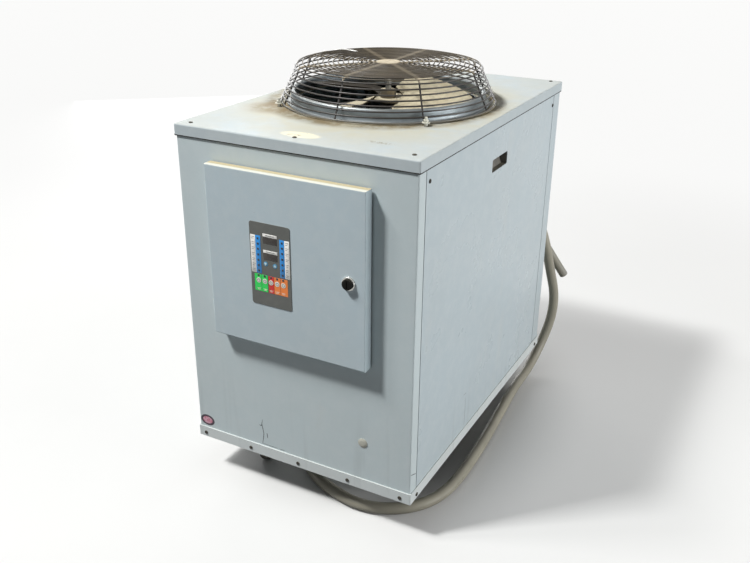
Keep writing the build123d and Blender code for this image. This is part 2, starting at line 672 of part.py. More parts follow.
HOSE_ROUTE = [
    HOSE_OUTLET,
    HOSE_OUTLET + HOSE_AIM * 62.0,
    Vector(306.0, 629.0, 450.0),
    Vector(340.0, 661.0, 381.0),
    Vector(370.0, 690.0, 320.0),
]


def bend_radii(route):
    """For each corner, 0.45 of the shorter run divided by the tangent of half the turn."""
    radii = []
    for before, here, after in zip(route, route[1:], route[2:]):
        run_in = here - before
        run_out = after - here
        turn = math.radians(run_in.get_angle(run_out))
        radii.append(0.45 * min(run_in.length, run_out.length) / math.tan(turn / 2))
    return radii


def tube(route, radius, name):
    """A plain round tube along straight runs joined by arcs."""
    radii = bend_radii(route)
    line = FilletPolyline(*route, radius=radii)
    section = Plane(origin=line @ 0, z_dir=line % 0) * Circle(radius)
    solid = sweep(section, path=line)
    share = solid.volume / (math.pi * radius**2 * line.length)
    print(name, "length", round(line.length), "radii", [round(r) for r in radii], "volume share", round(share, 4))
    return solid


def elbow(root, aim, reach, outlet, outer_r):
    """Liquid-tight elbow: lock ring on the panel, neck, round corner and a hexagon gland nut."""
    corner = root + Vector(0, reach, 0)
    ring_part = Plane(origin=root, z_dir=(0, 1, 0)) * extrude(RegularPolygon(outer_r + 11, 6), 8.0)
    neck = rod(root.X, root.Y - 14, root.Z, outer_r - 1.5, reach + 14, (0, 1, 0))
    ball = Pos(corner) * Sphere(outer_r - 1.5)
    down = Plane(origin=corner, z_dir=aim) * Cylinder(
        outer_r - 1.5, outlet - 4, align=(Align.CENTER, Align.CENTER, Align.MIN)
    )
    nut = Plane(origin=corner + aim * (outlet - 26), z_dir=aim) * extrude(RegularPolygon(outer_r + 8, 6), 22.0)
    cap = Plane(origin=corner + aim * (outlet - 4), z_dir=aim) * Cylinder(
        outer_r + 3.5, 4.0, align=(Align.CENTER, Align.CENTER, Align.MIN)
    )
    return ring_part + neck + ball + down + nut + cap


def conduit_fitting():
    """Straight connector on the conduit's far end: gland nut, body and threaded spigot."""
    end = CONDUIT_ROUTE[-1]
    aim = (end - CONDUIT_ROUTE[-2]).normalized()
    plane = Plane(origin=end, z_dir=aim)
    cap = plane * Cylinder(CONDUIT_R + 3.0, 4.0, align=(Align.CENTER, Align.CENTER, Align.MIN))
    nut = plane.offset(4) * extrude(RegularPolygon(22.0, 6, rotation=30), 20.0)
    collar = plane.offset(24) * Cylinder(21.0, 6.0, align=(Align.CENTER, Align.CENTER, Align.MIN))
    spigot = plane.offset(30) * Cylinder(16.0, 18.0, align=(Align.CENTER, Align.CENTER, Align.MIN))
    bore = plane.offset(10) * Cylinder(12.0, 60.0, align=(Align.CENTER, Align.CENTER, Align.MIN))
    return cap + nut + collar + spigot - bore


def caster_place(name):
    """Pivot of a caster under the tray."""
    x = CASTER_X if name.endswith("right") else -CASTER_X
    y = CASTER_Y if name.startswith("back") else -CASTER_Y
    return x, y


def caster_plates():
    """The four top plates, each with the fixed ring of its swivel bearing."""
    plates = []
    for name in CASTER_HEADINGS:
        x, y = caster_place(name)
        plate = block(x - 48, x + 48, y - 36, y + 36, BASE - 3.5, BASE)
        plate = fillet(plate.edges().filter_by(Axis.Z), 6.0)
        race = Pos(x, y, BASE - 3.5 - 7) * Cylinder(24.0, 7.0, align=(Align.CENTER, Align.CENTER, Align.MIN))
        plates.append(plate + race - Pos(x, y, BASE - 12) * Cylinder(AXLE_R + PIN_PLAY, 20.0))
    return Compound(plates)


def caster_fork(name):
    """Swivelling fork: bearing cup, two bent legs behind the pivot, king pin and axle."""
    x, y = caster_place(name)
    cup_top = BASE - 11.0
    axle_z = WHEEL_R
    cup = Pos(0, 0, cup_top - 5) * Cylinder(27.0, 5.0, align=(Align.CENTER, Align.CENTER, Align.MIN))
    king = Pos(0, 0, cup_top - 3) * Cylinder(AXLE_R, 10.0, align=(Align.CENTER, Align.CENTER, Align.MIN))
    half = WHEEL_WIDTH / 2 + 2.5
    crown = block(-22, TRAIL + 10, -half - 3, half + 3, cup_top - 8, cup_top - 5)
    legs = None
    side = make_face(
        Plane.XZ
        * Polyline(
            (-22, cup_top - 5),
            (TRAIL + 10, cup_top - 5),
            (TRAIL + 11, axle_z),
            (TRAIL + 6, axle_z - 11),
            (TRAIL - 6, axle_z - 11),
            (TRAIL - 11, axle_z),
            (-22, cup_top - 16),
            close=True,
        )
    )
    for sign in (-1, 1):
        leg = Pos(0, sign * (half + 1.5) - 1.5, 0) * extrude(side, 3.0, dir=(0, 1, 0))
        legs = leg if legs is None else legs + leg
    axle = rod(TRAIL, -half - 7, axle_z, AXLE_R, 2 * (half + 7), (0, 1, 0))
    fork = cup + king + crown + legs + axle
    return Pos(x, y, 0) * Rot(0, 0, CASTER_HEADINGS[name]) * fork


def caster_wheel(name):
    """Tyred wheel on a hub, free on its axle."""
    x, y = caster_place(name)
    half = WHEEL_WIDTH / 2
    bore = AXLE_R + PIN_PLAY
    outline = [
        (bore, -half - 1.5),
        (bore + 6, -half - 1.5),
        (bore + 6, -half + 3),
        (WHEEL_R - 13, -half + 4),
        (WHEEL_R - 10, -half),
        (WHEEL_R - 3, -half),
        (WHEEL_R, -half + 4),
        (WHEEL_R, half - 4),
        (WHEEL_R - 3, half),
        (WHEEL_R - 10, half),
        (WHEEL_R - 13, half - 4),
        (bore + 6, half - 3),
        (bore + 6, half + 1.5),
        (bore, half + 1.5),
    ]
    wheel = Pos(TRAIL, 0, WHEEL_R) * Rot(90, 0, 0) * revolved(outline)
    return Pos(x, y, 0) * Rot(0, 0, CASTER_HEADINGS[name]) * wheel


def main():
    os.makedirs("parts", exist_ok=True)
    save(base_tray(), "base_tray")
    save(front_panel(), "front_panel")
    save(side_panel(-1), "left_side_panel")
    save(side_panel(1), "right_side_panel")
    save(handle_cup(-1), "left_handle_cup")
    save(handle_cup(1), "right_handle_cup")
    save(back_panel(), "back_panel")
    save(intake_grille(), "intake_grille")
    save(condenser_coil(), "condenser_coil")
    save(top_cover(), "top_cover")
    save(fan_collar(), "fan_collar")
    save(guard_side_rings(), "guard_side_rings")
    save(guard_top_rings(), "guard_top_rings")
    save(guard_ribs(), "guard_ribs")
    save(guard_hub(), "guard_hub")
    save(guard_clips(), "guard_clips")
    save(fan_motor(), "fan_motor")
    save(motor_bracket(), "motor_bracket")
    save(fan_shaft(), "fan_shaft")
    save(fan_propeller(), "fan_propeller")
    save(control_box(), "control_box")
    save(sub_panel(), "sub_panel")
    save(switchgear(), "switchgear")
    save(hinge_sockets(), "hinge_sockets")
    save(hinge_leaves(), "hinge_leaves")
    save(door_skin(), "door_skin")
    save(door_gasket(), "door_gasket")
    save(keypad(), "keypad")
    save(latch_bezel(), "latch_bezel")
    save(latch_head(), "latch_head")
    save(plug_button(), "plug_button")
    save(water_stub(PIPE_XS[0]), "water_inlet")
    save(water_stub(PIPE_XS[1]), "water_outlet")
    save(drain_valve(), "drain_valve")
    save(elbow(CONDUIT_ROOT, CONDUIT_AIM, ELBOW_REACH, 46.0, CONDUIT_R), "conduit_elbow")
    save(elbow(HOSE_ROOT, HOSE_AIM, ELBOW_REACH - 6, 40.0, HOSE_R), "hose_elbow")
    save(tube(CONDUIT_ROUTE, CONDUIT_R, "conduit"), "power_conduit")
    save(tube(HOSE_ROUTE, HOSE_R, "hose"), "drain_hose")
    save(conduit_fitting(), "conduit_fitting")
    save(caster_plates(), "caster_plates")
    for name in CASTER_HEADINGS:
        save(caster_fork(name), "caster_fork_" + name)
        save(caster_wheel(name), "caster_wheel_" + name)


main()
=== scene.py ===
# %% [markdown]
# # A portable water chiller, dressed in Blender
# The machine is a pale blue-grey sheet-metal cabinet on casters with a guarded fan on top. Its solid
# parts come from CAD and stay where they are. This lesson adds what CAD leaves plain: round wire, smooth
# pressed metal, screws, the printed keypad, dirt and dust, the two cords, the light and the camera.

# %% Load the CAD frame
import math
import bpy
import bmesh
import numpy as np
from mathutils import Matrix, Vector


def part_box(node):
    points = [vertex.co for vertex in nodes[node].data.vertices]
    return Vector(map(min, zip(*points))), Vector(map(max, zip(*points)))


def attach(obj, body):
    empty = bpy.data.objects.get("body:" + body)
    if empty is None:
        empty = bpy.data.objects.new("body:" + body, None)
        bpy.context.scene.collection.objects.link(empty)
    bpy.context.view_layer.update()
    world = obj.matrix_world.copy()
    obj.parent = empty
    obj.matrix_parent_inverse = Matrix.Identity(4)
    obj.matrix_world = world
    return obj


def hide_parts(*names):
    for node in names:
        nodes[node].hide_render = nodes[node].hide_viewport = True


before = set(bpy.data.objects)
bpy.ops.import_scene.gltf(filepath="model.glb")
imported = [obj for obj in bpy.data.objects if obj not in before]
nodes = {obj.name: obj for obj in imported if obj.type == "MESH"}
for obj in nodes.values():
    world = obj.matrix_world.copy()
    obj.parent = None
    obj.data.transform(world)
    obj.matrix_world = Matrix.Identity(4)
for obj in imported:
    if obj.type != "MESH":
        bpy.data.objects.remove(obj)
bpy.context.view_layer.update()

# %% [markdown]
# ## Landmarks
# A few heights and faces are used again and again. Reading them from the CAD boxes, rather than typing
# them, keeps every added piece seated on the part that carries it.

# %% Landmarks
def edge(name, axis, far=False):
    """Where a CAD part begins along an axis, or where it ends."""
    return float(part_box(name)[int(far)]["xyz".index(axis)])


FRONT, BACK = edge("front_panel", "y"), edge("back_panel", "y", far=True)
TOP, BASE = edge("top_cover", "z", far=True), edge("base_tray", "z")
RAIL_FACE, SIDE = edge("base_tray", "y"), edge("right_side_panel", "x", far=True)
FAN_Y = (edge("fan_collar", "y") + edge("fan_collar", "y", far=True)) / 2
DOOR_FACE, PAD_FACE = edge("door_skin", "y"), edge("keypad", "y")
print("front", FRONT, "top", TOP, "fan centre y", round(FAN_Y, 4))

# %% [markdown]
# ## Camera
# The view is the photograph's: from the front right, a little above the cabinet, looking down by 24
# degrees. The turn is built from four plain rotations, so each one can be changed on its own.

# %% Camera
def place_object(name, data):
    """Puts an object with the given data into the scene."""
    thing = bpy.data.objects.new(name, data)
    bpy.context.collection.objects.link(thing)
    return thing


camera_data = bpy.data.cameras.new("camera")
camera_data.lens = 41.7007
camera_data.sensor_width = 36.0
camera = place_object("camera", camera_data)
heading = Matrix.Rotation(math.radians(27.908), 4, "Z")
pitch = Matrix.Rotation(math.radians(-23.943), 4, "X")
roll = Matrix.Rotation(math.radians(-0.563), 4, "Y")
upright = Matrix.Rotation(math.radians(90.0), 4, "X")
camera.matrix_world = Matrix.Translation((1.12213, -2.19466, 1.57222)) @ heading @ pitch @ roll @ upright
bpy.context.scene.camera = camera
print("camera at", tuple(round(v, 3) for v in camera.location))

# %% [markdown]
# ## Conduit and hose
# A cord is a fixed length of something bendy, so it is a curve and not a mesh: the line is easy to see
# and to correct, and the thickness is one number. A NURBS line of order 3 runs smoothly past its control
# points, which are the corners of the route that the CAD tube follows.

# %% A helper for cords
def cord_curve(name, points, radius):
    """One open NURBS line drawn by its points; the section is a 1 m circle times each point's radius."""
    data = bpy.data.curves.new(name, "CURVE")
    data.dimensions = "3D"
    spline = data.splines.new("NURBS")
    spline.points.add(len(points) - 1)
    flat = np.ones((len(points), 4), np.float32)
    flat[:, :3] = points
    spline.points.foreach_set("co", flat.ravel())
    spline.points.foreach_set("radius", np.full(len(points), radius, np.float32))
    spline.order_u = 3
    spline.use_endpoint_u = True
    spline.resolution_u = 10
    data.bevel_depth = 1.0
    data.bevel_resolution = 6
    data.use_fill_caps = True
    return place_object(name, data)


print("cord helper ready")

# %% [markdown]
# ## The conduit
# One thick vinyl conduit brings the power. It leaves an elbow at the back, drops, lies along the right
# side, turns under the front edge and is laid in one open loop under the machine, where it ends in its
# own connector. It could be a mesh tube, but a curve keeps its few points and stays easy to move.

# %% The thick grey conduit
CONDUIT_R, FLOOR_LINE = 0.0167, 0.017
ELBOW_REACH, STRAIGHT_RUN = 0.046, 0.068
conduit_aim = np.array([0.342020, 0.05, -0.939693])
conduit_aim /= np.linalg.norm(conduit_aim)
conduit_exit = np.array([0.290, 0.567, 0.575]) + conduit_aim * ELBOW_REACH
hanging = [(0.345, 0.595, 0.369), (0.366, 0.613, 0.270), (0.361, 0.615, 0.170), (0.343, 0.569, 0.080),
           (0.331, 0.478, 0.021)]
lying = [(0.328, 0.360), (0.337, 0.235), (0.348, 0.110), (0.357, -0.005), (0.362, -0.110), (0.364, -0.205),
         (0.360, -0.291), (0.337, -0.367), (0.292, -0.425), (0.231, -0.462), (0.162, -0.475), (0.093, -0.463),
         (0.028, -0.439), (-0.032, -0.405), (-0.083, -0.355), (-0.121, -0.293), (-0.146, -0.222),
         (-0.168, -0.153), (-0.177, -0.070), (-0.176, 0.013), (-0.158, 0.093), (-0.115, 0.165),
         (-0.047, 0.213), (0.030, 0.228), (0.108, 0.211), (0.172, 0.165), (0.213, 0.096)]
end = [(0.223, 0.016, FLOOR_LINE + 0.0015), (0.213, -0.046, FLOOR_LINE + 0.0055)]
conduit_points = np.array([conduit_exit, conduit_exit + conduit_aim * STRAIGHT_RUN, *hanging,
                           *[(x, y, FLOOR_LINE) for x, y in lying], *end])
conduit = cord_curve("power_conduit_line", conduit_points, CONDUIT_R)
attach(conduit, "root")
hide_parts("power_conduit")
print("conduit points:", len(conduit_points))

# %% [markdown]
# ## The hose end
# Beside the conduit a shorter hose hangs out of its own elbow. It is stiff enough to stand off the back
# in a slight curve, so five points are plenty.

# %% The loose hose end
HOSE_R, HOSE_ELBOW_REACH, HOSE_STRAIGHT_RUN = 0.015, 0.040, 0.062
hose_aim = np.array([0.42, 0.34, -0.84])
hose_aim /= np.linalg.norm(hose_aim)
hose_exit = np.array([0.218, 0.561, 0.620]) + hose_aim * HOSE_ELBOW_REACH
hose_points = np.array([hose_exit, hose_exit + hose_aim * HOSE_STRAIGHT_RUN, (0.306, 0.629, 0.450),
                        (0.340, 0.661, 0.381), (0.370, 0.690, 0.320)])
hose = cord_curve("drain_hose_line", hose_points, HOSE_R)
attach(hose, "root")
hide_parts("drain_hose")
print("hose points:", len(hose_points))

# %% [markdown]
# ## Mesh from a grid
# Nearly every added piece is a surface with two parameters: along and around. One helper turns a block
# of points into a mesh, so the shapes themselves can stay short formulas on whole arrays.

# %% Mesh helpers
def grid_mesh(name, points, wrap_u=False, wrap_v=True, crease=35.0, weld=True):
    """Quads between neighbours of a (copies, along, around, 3) block; wrapped edges close on themselves."""
    points = np.asarray(points, float)
    if points.ndim == 3:
        points = points[None]
    index = np.arange(points[..., 0].size).reshape(points.shape[:3])
    along = np.roll(index, -1, 1) if wrap_u else index[:, 1:]
    here = index if wrap_u else index[:, :-1]
    quads = np.stack([here, np.roll(here, -1, 2), np.roll(along, -1, 2), along], -1)
    if not wrap_v:
        quads = quads[:, :, :-1]
    mesh = bpy.data.meshes.new(name)
    mesh.from_pydata(points.reshape(-1, 3), [], quads.reshape(-1, 4))
    if weld:
        work = bmesh.new()
        work.from_mesh(mesh)
        bmesh.ops.remove_doubles(work, verts=work.verts, dist=2e-6)
        bmesh.ops.recalc_face_normals(work, faces=work.faces)
        work.to_mesh(mesh)
        work.free()
    mesh.polygons.foreach_set("use_smooth", np.ones(len(mesh.polygons), bool))
    mesh.set_sharp_from_angle(angle=math.radians(crease))
    return place_object(name, mesh)


def finish_piece(piece, finish, body="root", stands_for=()):
    """Gives a piece its finish and hangs it on its body."""
    piece.data.materials.append(finish.material)
    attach(piece, body)
    if stands_for:
        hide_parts(*stands_for)
    return piece


def full_turn(count):
    """Equal steps of angle, once round."""
    return np.linspace(0, 2 * np.pi, count, endpoint=False)


def tube(path, radius, around):
    """A round tube: each point of the path gets a circle across it, and both ends close in a low dome."""
    step = np.gradient(path, axis=0)
    step /= np.linalg.norm(step, axis=-1, keepdims=True)
    guide = np.eye(3)[int(np.argmin(np.abs(step).max(0) + 0.01 * np.ptp(step, axis=0)))]
    side = np.cross(step, guide)
    side /= np.linalg.norm(side, axis=-1, keepdims=True)
    up = np.cross(side, step)
    turn = full_turn(around)
    dome = radius * np.array([0.0, 0.75, 1.0])
    pull = radius * np.array([-1.0, -0.7, 0.0])[:, None]
    size = np.concatenate([dome, np.full(len(path), radius), dome[::-1]])
    path = np.concatenate([path[:1] + step[:1] * pull, path, path[-1:] - step[-1:] * pull[::-1]])
    side, up = (np.concatenate([np.repeat(v[:1], 3, 0), v, np.repeat(v[-1:], 3, 0)]) for v in (side, up))
    ring = side[:, None] * np.cos(turn)[:, None] + up[:, None] * np.sin(turn)[:, None]
    return path[:, None] + ring * size[:, None, None]


print("mesh helpers ready")

# %% [markdown]
# ## Materials
# Every finish is a small network of nodes that reads Object coordinates, so the pattern stays on the
# metal when the door opens. A few helpers keep each network readable: one adds a node, one joins noise
# to a ramp, one mixes two colours.

# %% Material helpers
def srgb(red, green, blue):
    """A colour as a picture editor shows it, 0 to 255, turned into Blender's linear numbers."""
    values = np.array([red, green, blue]) / 255.0
    linear = np.where(values <= 0.04045, values / 12.92, ((values + 0.055) / 1.055) ** 2.4)
    return (*[float(v) for v in linear], 1.0)


class Finish:
    """A material under construction: its tree, its shader and the object coordinates."""

    def __init__(self, name, roughness=0.5, metallic=0.0, **shader_values):
        self.material = bpy.data.materials.new(name)
        self.material.use_nodes = True
        self.tree = self.material.node_tree
        self.shader = self.tree.nodes["Principled BSDF"]
        self.shader.inputs["Roughness"].default_value = roughness
        self.shader.inputs["Metallic"].default_value = metallic
        for key, value in shader_values.items():
            self.shader.inputs[key.replace("_", " ")].default_value = value
        self.place = self.add("ShaderNodeTexCoord").outputs["Object"]

    def add(self, kind, **values):
        """A node with the given input values."""
        node = self.tree.nodes.new(kind)
        for key, value in values.items():
            self.give(node.inputs[key.replace("_", " ")], value)
        return node

    def give(self, socket, value):
        """Links a socket, or sets it where a plain value is given."""
        if isinstance(value, bpy.types.NodeSocket):
            self.tree.links.new(value, socket)
        else:
            socket.default_value = value

    def stretched(self, scale=(1, 1, 1), shift=(0, 0, 0)):
        """Object coordinates, moved and stretched."""
        mapping = self.add("ShaderNodeMapping", Vector=self.place, Scale=scale, Location=shift)
        return mapping.outputs["Vector"]

    def noise(self, scale, detail=4.0, rough=0.55, vector=None):
        """Cloudy noise from 0 to 1, around 0.5."""
        node = self.add("ShaderNodeTexNoise", Vector=vector or self.place, Scale=scale, Detail=detail,
                        Roughness=rough)
        return node.outputs["Fac"]

    def cells(self, scale):
        """Distance to scattered points: small round spots where it is near 0."""
        node = self.add("ShaderNodeTexVoronoi", Vector=self.place, Scale=scale)
        return node.outputs["Distance"]

    def span(self, value, low, high, start=0.0, end=1.0):
        """A value's range from low to high, stretched softly to run from start to end."""
        node = self.add("ShaderNodeMapRange", Value=value, From_Min=low, From_Max=high, To_Min=start,
                        To_Max=end)
        node.interpolation_type = "SMOOTHSTEP"
        return node.outputs["Result"]

    def calc(self, what, first, second=0.0):
        """Plain arithmetic on two values."""
        node = self.tree.nodes.new("ShaderNodeMath")
        node.operation = what
        self.give(node.inputs[0], first)
        self.give(node.inputs[1], second)
        return node.outputs[0]

    def times(self, first, *others):
        """The product of several values."""
        for other in others:
            first = self.calc("MULTIPLY", first, other)
        return first

    def mix(self, amount, first, second):
        """Colour between two colours."""
        node = self.tree.nodes.new("ShaderNodeMix")
        node.data_type = "RGBA"
        self.give(node.inputs[0], amount)
        self.give(node.inputs[6], first)
        self.give(node.inputs[7], second)
        return node.outputs[2]

    def axis(self, letter, vector=None):
        """One coordinate of a position."""
        split = self.add("ShaderNodeSeparateXYZ", Vector=vector or self.place)
        return split.outputs[letter]

    def upward(self, low=0.35, high=0.9):
        """1 where the surface faces up, 0 where it doesn't."""
        normal = self.tree.nodes.new("ShaderNodeNewGeometry").outputs["Normal"]
        return self.span(self.axis("Z", normal), low, high)

    def spot(self, centre, reach, soft):
        """1 inside an ellipsoid of the given half sizes about a centre, 0 outside, with a soft edge."""
        scale = [1.0 / r for r in reach]
        shift = [-c / r for c, r in zip(centre, reach)]
        length = self.tree.nodes.new("ShaderNodeVectorMath")
        length.operation = "LENGTH"
        self.give(length.inputs[0], self.stretched(scale, shift))
        return self.span(length.outputs["Value"], 1.0 - soft, 1.0 + soft, 1.0, 0.0)

    def bump(self, height, strength, distance=0.001):
        """Small relief from a height value."""
        node = self.add("ShaderNodeBump", Height=height, Strength=strength, Distance=distance)
        self.give(self.shader.inputs["Normal"], node.outputs["Normal"])

    def painted(self):
        """The colour as it stands, to lay one more over it."""
        return self.shader.inputs["Base Color"].links[0].from_socket

    def colour(self, value):
        self.give(self.shader.inputs["Base Color"], value)

    def rough(self, value):
        self.give(self.shader.inputs["Roughness"], value)


print("material helpers ready")

# %% [markdown]
# ## Cabinet paint
# The cabinet has one semi-gloss powder coat. Each panel wears it with a tone of its own and its own dirt:
# a grey film on the front, clean blue-grey on the sides, beige dust on what faces up. The tones are partly
# painted light: the front's paint is paler than the sides' to make up for the weaker light on the front. So
# one function makes the paint, and its arguments say how pale, how dirty and how glossy the panel is. The
# door's top ledge gets a painted highlight along its front edge and beige dust behind it, which its own
# function adds.

# %% Paint
DUST = srgb(206, 197, 172)


def paint(name, colour, film=0.25, dust=0.5, specks=0.4, gloss=0.34, sheen=0.25):
    """Powder coat: cloudy tone, faint downward streaks, pale scuffs, small specks, dust on what faces up."""
    coat = Finish(name, Specular_IOR_Level=sheen)
    cloud = coat.span(coat.noise(3.1, 5.0, 0.6), 0.35, 0.68)
    body = coat.mix(coat.times(cloud, film), colour, srgb(180, 184, 180))
    fine = coat.span(coat.noise(26.0, 5.0, 0.7), 0.40, 0.66, 0.0, 0.16)
    body = coat.mix(fine, body, srgb(216, 222, 222))
    streak = coat.noise(1.0, 3.0, 0.5, coat.stretched((34, 34, 1.6)))
    low = coat.span(coat.axis("Z"), 0.45, 0.12)
    mark = coat.times(coat.span(streak, 0.56, 0.75), low, 0.14)
    body = coat.mix(mark, body, srgb(128, 132, 130))
    rub = coat.span(coat.noise(7.0, 4.0, 0.6, coat.stretched((1.0, 1.0, 0.35), (3.1, 0.7, 1.9))), 0.60, 0.72)
    body = coat.mix(coat.times(rub, 0.12 + 0.3 * film), body, srgb(206, 208, 202))
    dots = coat.span(coat.cells(42.0), 0.06, 0.025)
    pick = coat.span(coat.noise(9.0, 1.0), 0.56, 0.62)
    body = coat.mix(coat.times(dots, pick, specks), body, srgb(84, 82, 78))
    lying = coat.times(coat.upward(0.3, 0.85), coat.span(coat.noise(7.0, 6.0, 0.65), 0.28, 0.55), dust)
    coat.colour(coat.mix(lying, body, DUST))
    shine = coat.span(coat.noise(5.0, 4.0), 0.3, 0.7, gloss - 0.05, gloss + 0.09)
    coat.rough(coat.calc("ADD", shine, coat.times(lying, 0.4)))
    peel = coat.calc("ADD", coat.noise(620.0, 2.0), coat.times(coat.noise(4.0, 2.0), 1.5))
    coat.bump(peel, 0.04, 0.0006)
    return coat


def door_finish():
    """Door paint with a ledge on top: a painted highlight along the front edge, beige dust behind it."""
    coat = paint("paint_door", srgb(193, 208, 214), film=0.16, dust=0.95, specks=0.35, gloss=0.38)
    before = coat.painted()
    # The ledge's front edge is pale as a painted highlight; behind it lies beige dust.
    behind = coat.span(coat.axis("Y"), DOOR_FACE + 0.008, DOOR_FACE + 0.016)
    ledge_highlight_and_dust = coat.mix(behind, srgb(226, 228, 218), srgb(190, 176, 138))
    coat.colour(coat.mix(coat.times(coat.upward(0.5, 0.9), 0.8), before, ledge_highlight_and_dust))
    return coat


side_paint = paint("paint_side_panels", srgb(186, 199, 204), film=0.10, dust=0.4, specks=0.2, gloss=0.30)
# Paler than the sides' paint to make up for the weaker light on the front: painted light.
front_paint_with_painted_light = paint("paint_front_with_painted_light", srgb(200, 212, 214), film=0.12, dust=0.7, specks=0.3, gloss=0.38)
door_paint = door_finish()
rail_paint = paint("paint_base_rail", srgb(214, 220, 219), film=0.12, dust=0.12, specks=0.4, gloss=0.36)
back_paint = paint("paint_back", srgb(186, 199, 204), film=0.30, dust=0.4, specks=0.3, gloss=0.34)
print("paint finishes made")

# %% [markdown]
# ### Dust on the cover
# The fan draws air up and drops what it carried in a ring round its guard: brown against the guard's
# foot, cream further out, and most of it towards the front. The cover's own paint gets that ring as a
# colour that depends on the distance from the fan's centre, and one cream patch at the front edge.

# %% Paint of the cover
def cover_finish():
    """Cover paint with rings of dust round the fan, a cream patch of old glue and a few dark crumbs."""
    coat = paint("paint_top_cover", srgb(192, 202, 205), film=0.08, dust=0.25, specks=0.7, gloss=0.52,
                 sheen=0.08)
    before = coat.painted()
    flat = coat.upward(0.6, 0.95)
    ring = coat.spot((0.01, FAN_Y - 0.04, TOP), (0.365, 0.415, 0.5), 0.20)
    ragged = coat.span(coat.noise(9.0, 6.0, 0.66), 0.30, 0.56, 0.15, 1.0)
    amount = coat.times(ring, ragged, flat, 0.52)
    dusty = coat.mix(amount, before, srgb(202, 194, 164))
    near = coat.spot((-0.008, FAN_Y - 0.006, TOP), (0.330, 0.336, 0.5), 0.07)
    mottled = coat.span(coat.noise(17.0, 6.0, 0.7), 0.36, 0.62, 0.42, 1.0)
    soot = coat.times(near, flat, mottled, 0.90)
    dusty = coat.mix(soot, dusty, srgb(122, 106, 74))
    stain = coat.spot((-0.225, -0.250, TOP), (0.075, 0.060, 0.05), 0.5)
    stain = coat.times(stain, mottled, 0.70)
    dusty = coat.mix(stain, dusty, srgb(146, 128, 96))
    patch = coat.spot((-0.004, -0.461, TOP), (0.052, 0.024, 0.02), 0.22)
    torn = coat.span(coat.noise(55.0, 4.0, 0.7), 0.28, 0.44)
    dusty = coat.mix(coat.times(patch, torn, flat), dusty, srgb(240, 233, 205))
    crumbs = (((-0.020, -0.466, TOP), (0.022, 0.008, 0.02), 160.0, (0.50, 0.60), 0.8, srgb(120, 112, 96)),
              ((0.198, -0.428, TOP), (0.030, 0.010, 0.02), 120.0, (0.46, 0.58), 0.7, srgb(150, 140, 118)))
    for centre, reach, scale, edges, amount, shade in crumbs:
        loose = coat.span(coat.noise(scale, 3.0, 0.7), *edges)
        dusty = coat.mix(coat.times(coat.spot(centre, reach, 0.5), loose, amount), dusty, shade)
    coat.colour(dusty)
    return coat


cover_paint = cover_finish()
print("cover finish made")

# %% [markdown]
# ## Bare and plated metal
# Zinc, aluminium and plated steel are all metallic shaders. What sets them apart is scale: zinc shows a
# coarse crystal pattern, aluminium sheet a fine grain in one direction, plated screws almost none. The
# fan's blades are metal under cream dust with darker wavy streaks, painted shade of creases, and painted
# shade darkens them to the left of the shaft.

# %% Metals
def metal(name, colour, roughness=0.4, grain=0.1, dust=0.0, stretch=(1, 1, 1), scale=120.0,
          dust_colour=DUST):
    """Metal with a grain that shifts its colour and gloss, and dust where it faces up."""
    bare = 0.85
    steel = Finish(name, metallic=bare)
    pattern = steel.noise(scale, 4.0, 0.6, steel.stretched(stretch))
    shade = [c * (1.0 - 2.2 * grain) for c in colour[:3]] + [1.0]
    base = steel.mix(steel.span(pattern, 0.3, 0.7), shade, colour)
    dirt = steel.span(steel.noise(16.0, 5.0, 0.65), 0.42, 0.75)
    base = steel.mix(steel.times(dirt, 0.3), base, srgb(88, 84, 76))
    thick = steel.span(steel.noise(60.0, 4.0), 0.2, 0.6, 0.6, 1.0)
    lying = steel.times(steel.upward(0.1, 0.8), thick, dust)
    steel.colour(steel.mix(lying, base, dust_colour))
    steel.rough(steel.calc("ADD", steel.span(pattern, 0.3, 0.7, roughness - 0.06, roughness + 0.08),
                           steel.times(lying, 0.4)))
    steel.give(steel.shader.inputs["Metallic"], steel.calc("SUBTRACT", bare, steel.times(lying, bare)))
    steel.bump(pattern, 0.12, 0.0004)
    return steel


def blade_finish():
    """Cream dust with darker wavy streaks as painted shade of creases, and painted shade left of the shaft.
    """
    blade = metal("dusty_fan_blade", srgb(120, 112, 98), 0.6, 0.06, 0.9, dust_colour=srgb(226, 216, 186))
    before = blade.painted()
    # Darker wavy streaks on the cream dust: painted shade of creases.
    crease_shade = blade.noise(14.0, 5.0, 0.7, blade.stretched((1.0, 2.6, 1.0)))
    dusty = blade.mix(blade.span(crease_shade, 0.44, 0.70, 0.0, 0.45), before, srgb(172, 156, 120))
    # Darker left of the shaft: painted shade.
    shade_left_of_shaft = blade.span(blade.axis("X"), -0.022, -0.040)
    blade.colour(blade.mix(shade_left_of_shaft, dusty, srgb(60, 54, 45)))
    return blade


zinc = metal("galvanised_sheet", srgb(168, 182, 192), 0.38, 0.08, 0.35, scale=35.0)
aluminium = metal("bare_aluminium", srgb(176, 178, 180), 0.38, 0.07, 0.2, (1, 1, 14))
plated = metal("plated_steel", srgb(150, 150, 146), 0.36, 0.08, 0.25)
dusty_clip = metal("dusty_clip_steel", srgb(200, 200, 192), 0.5, 0.06, 0.8, dust_colour=srgb(226, 224, 206))
chrome = metal("latch_ring_chrome", srgb(196, 196, 192), 0.22, 0.03, 0.1)
brass = metal("drain_cock_brass", srgb(178, 146, 84), 0.34, 0.08, 0.15)
blade_metal = blade_finish()
collar_zinc = metal("collar_zinc", srgb(150, 159, 164), 0.42, 0.07, 0.2, scale=22.0)
print("metals made")

# %% [markdown]
# ## Wire of the guard
# The guard is black-coated wire under years of dust. Dust lies on the upper half of each wire, thick on
# top and thin on the steep sides. On the top it is palest where the ribs cross under the rings, because
# air moves least there, so the top's material also reads how far a point is from the nearest rib.

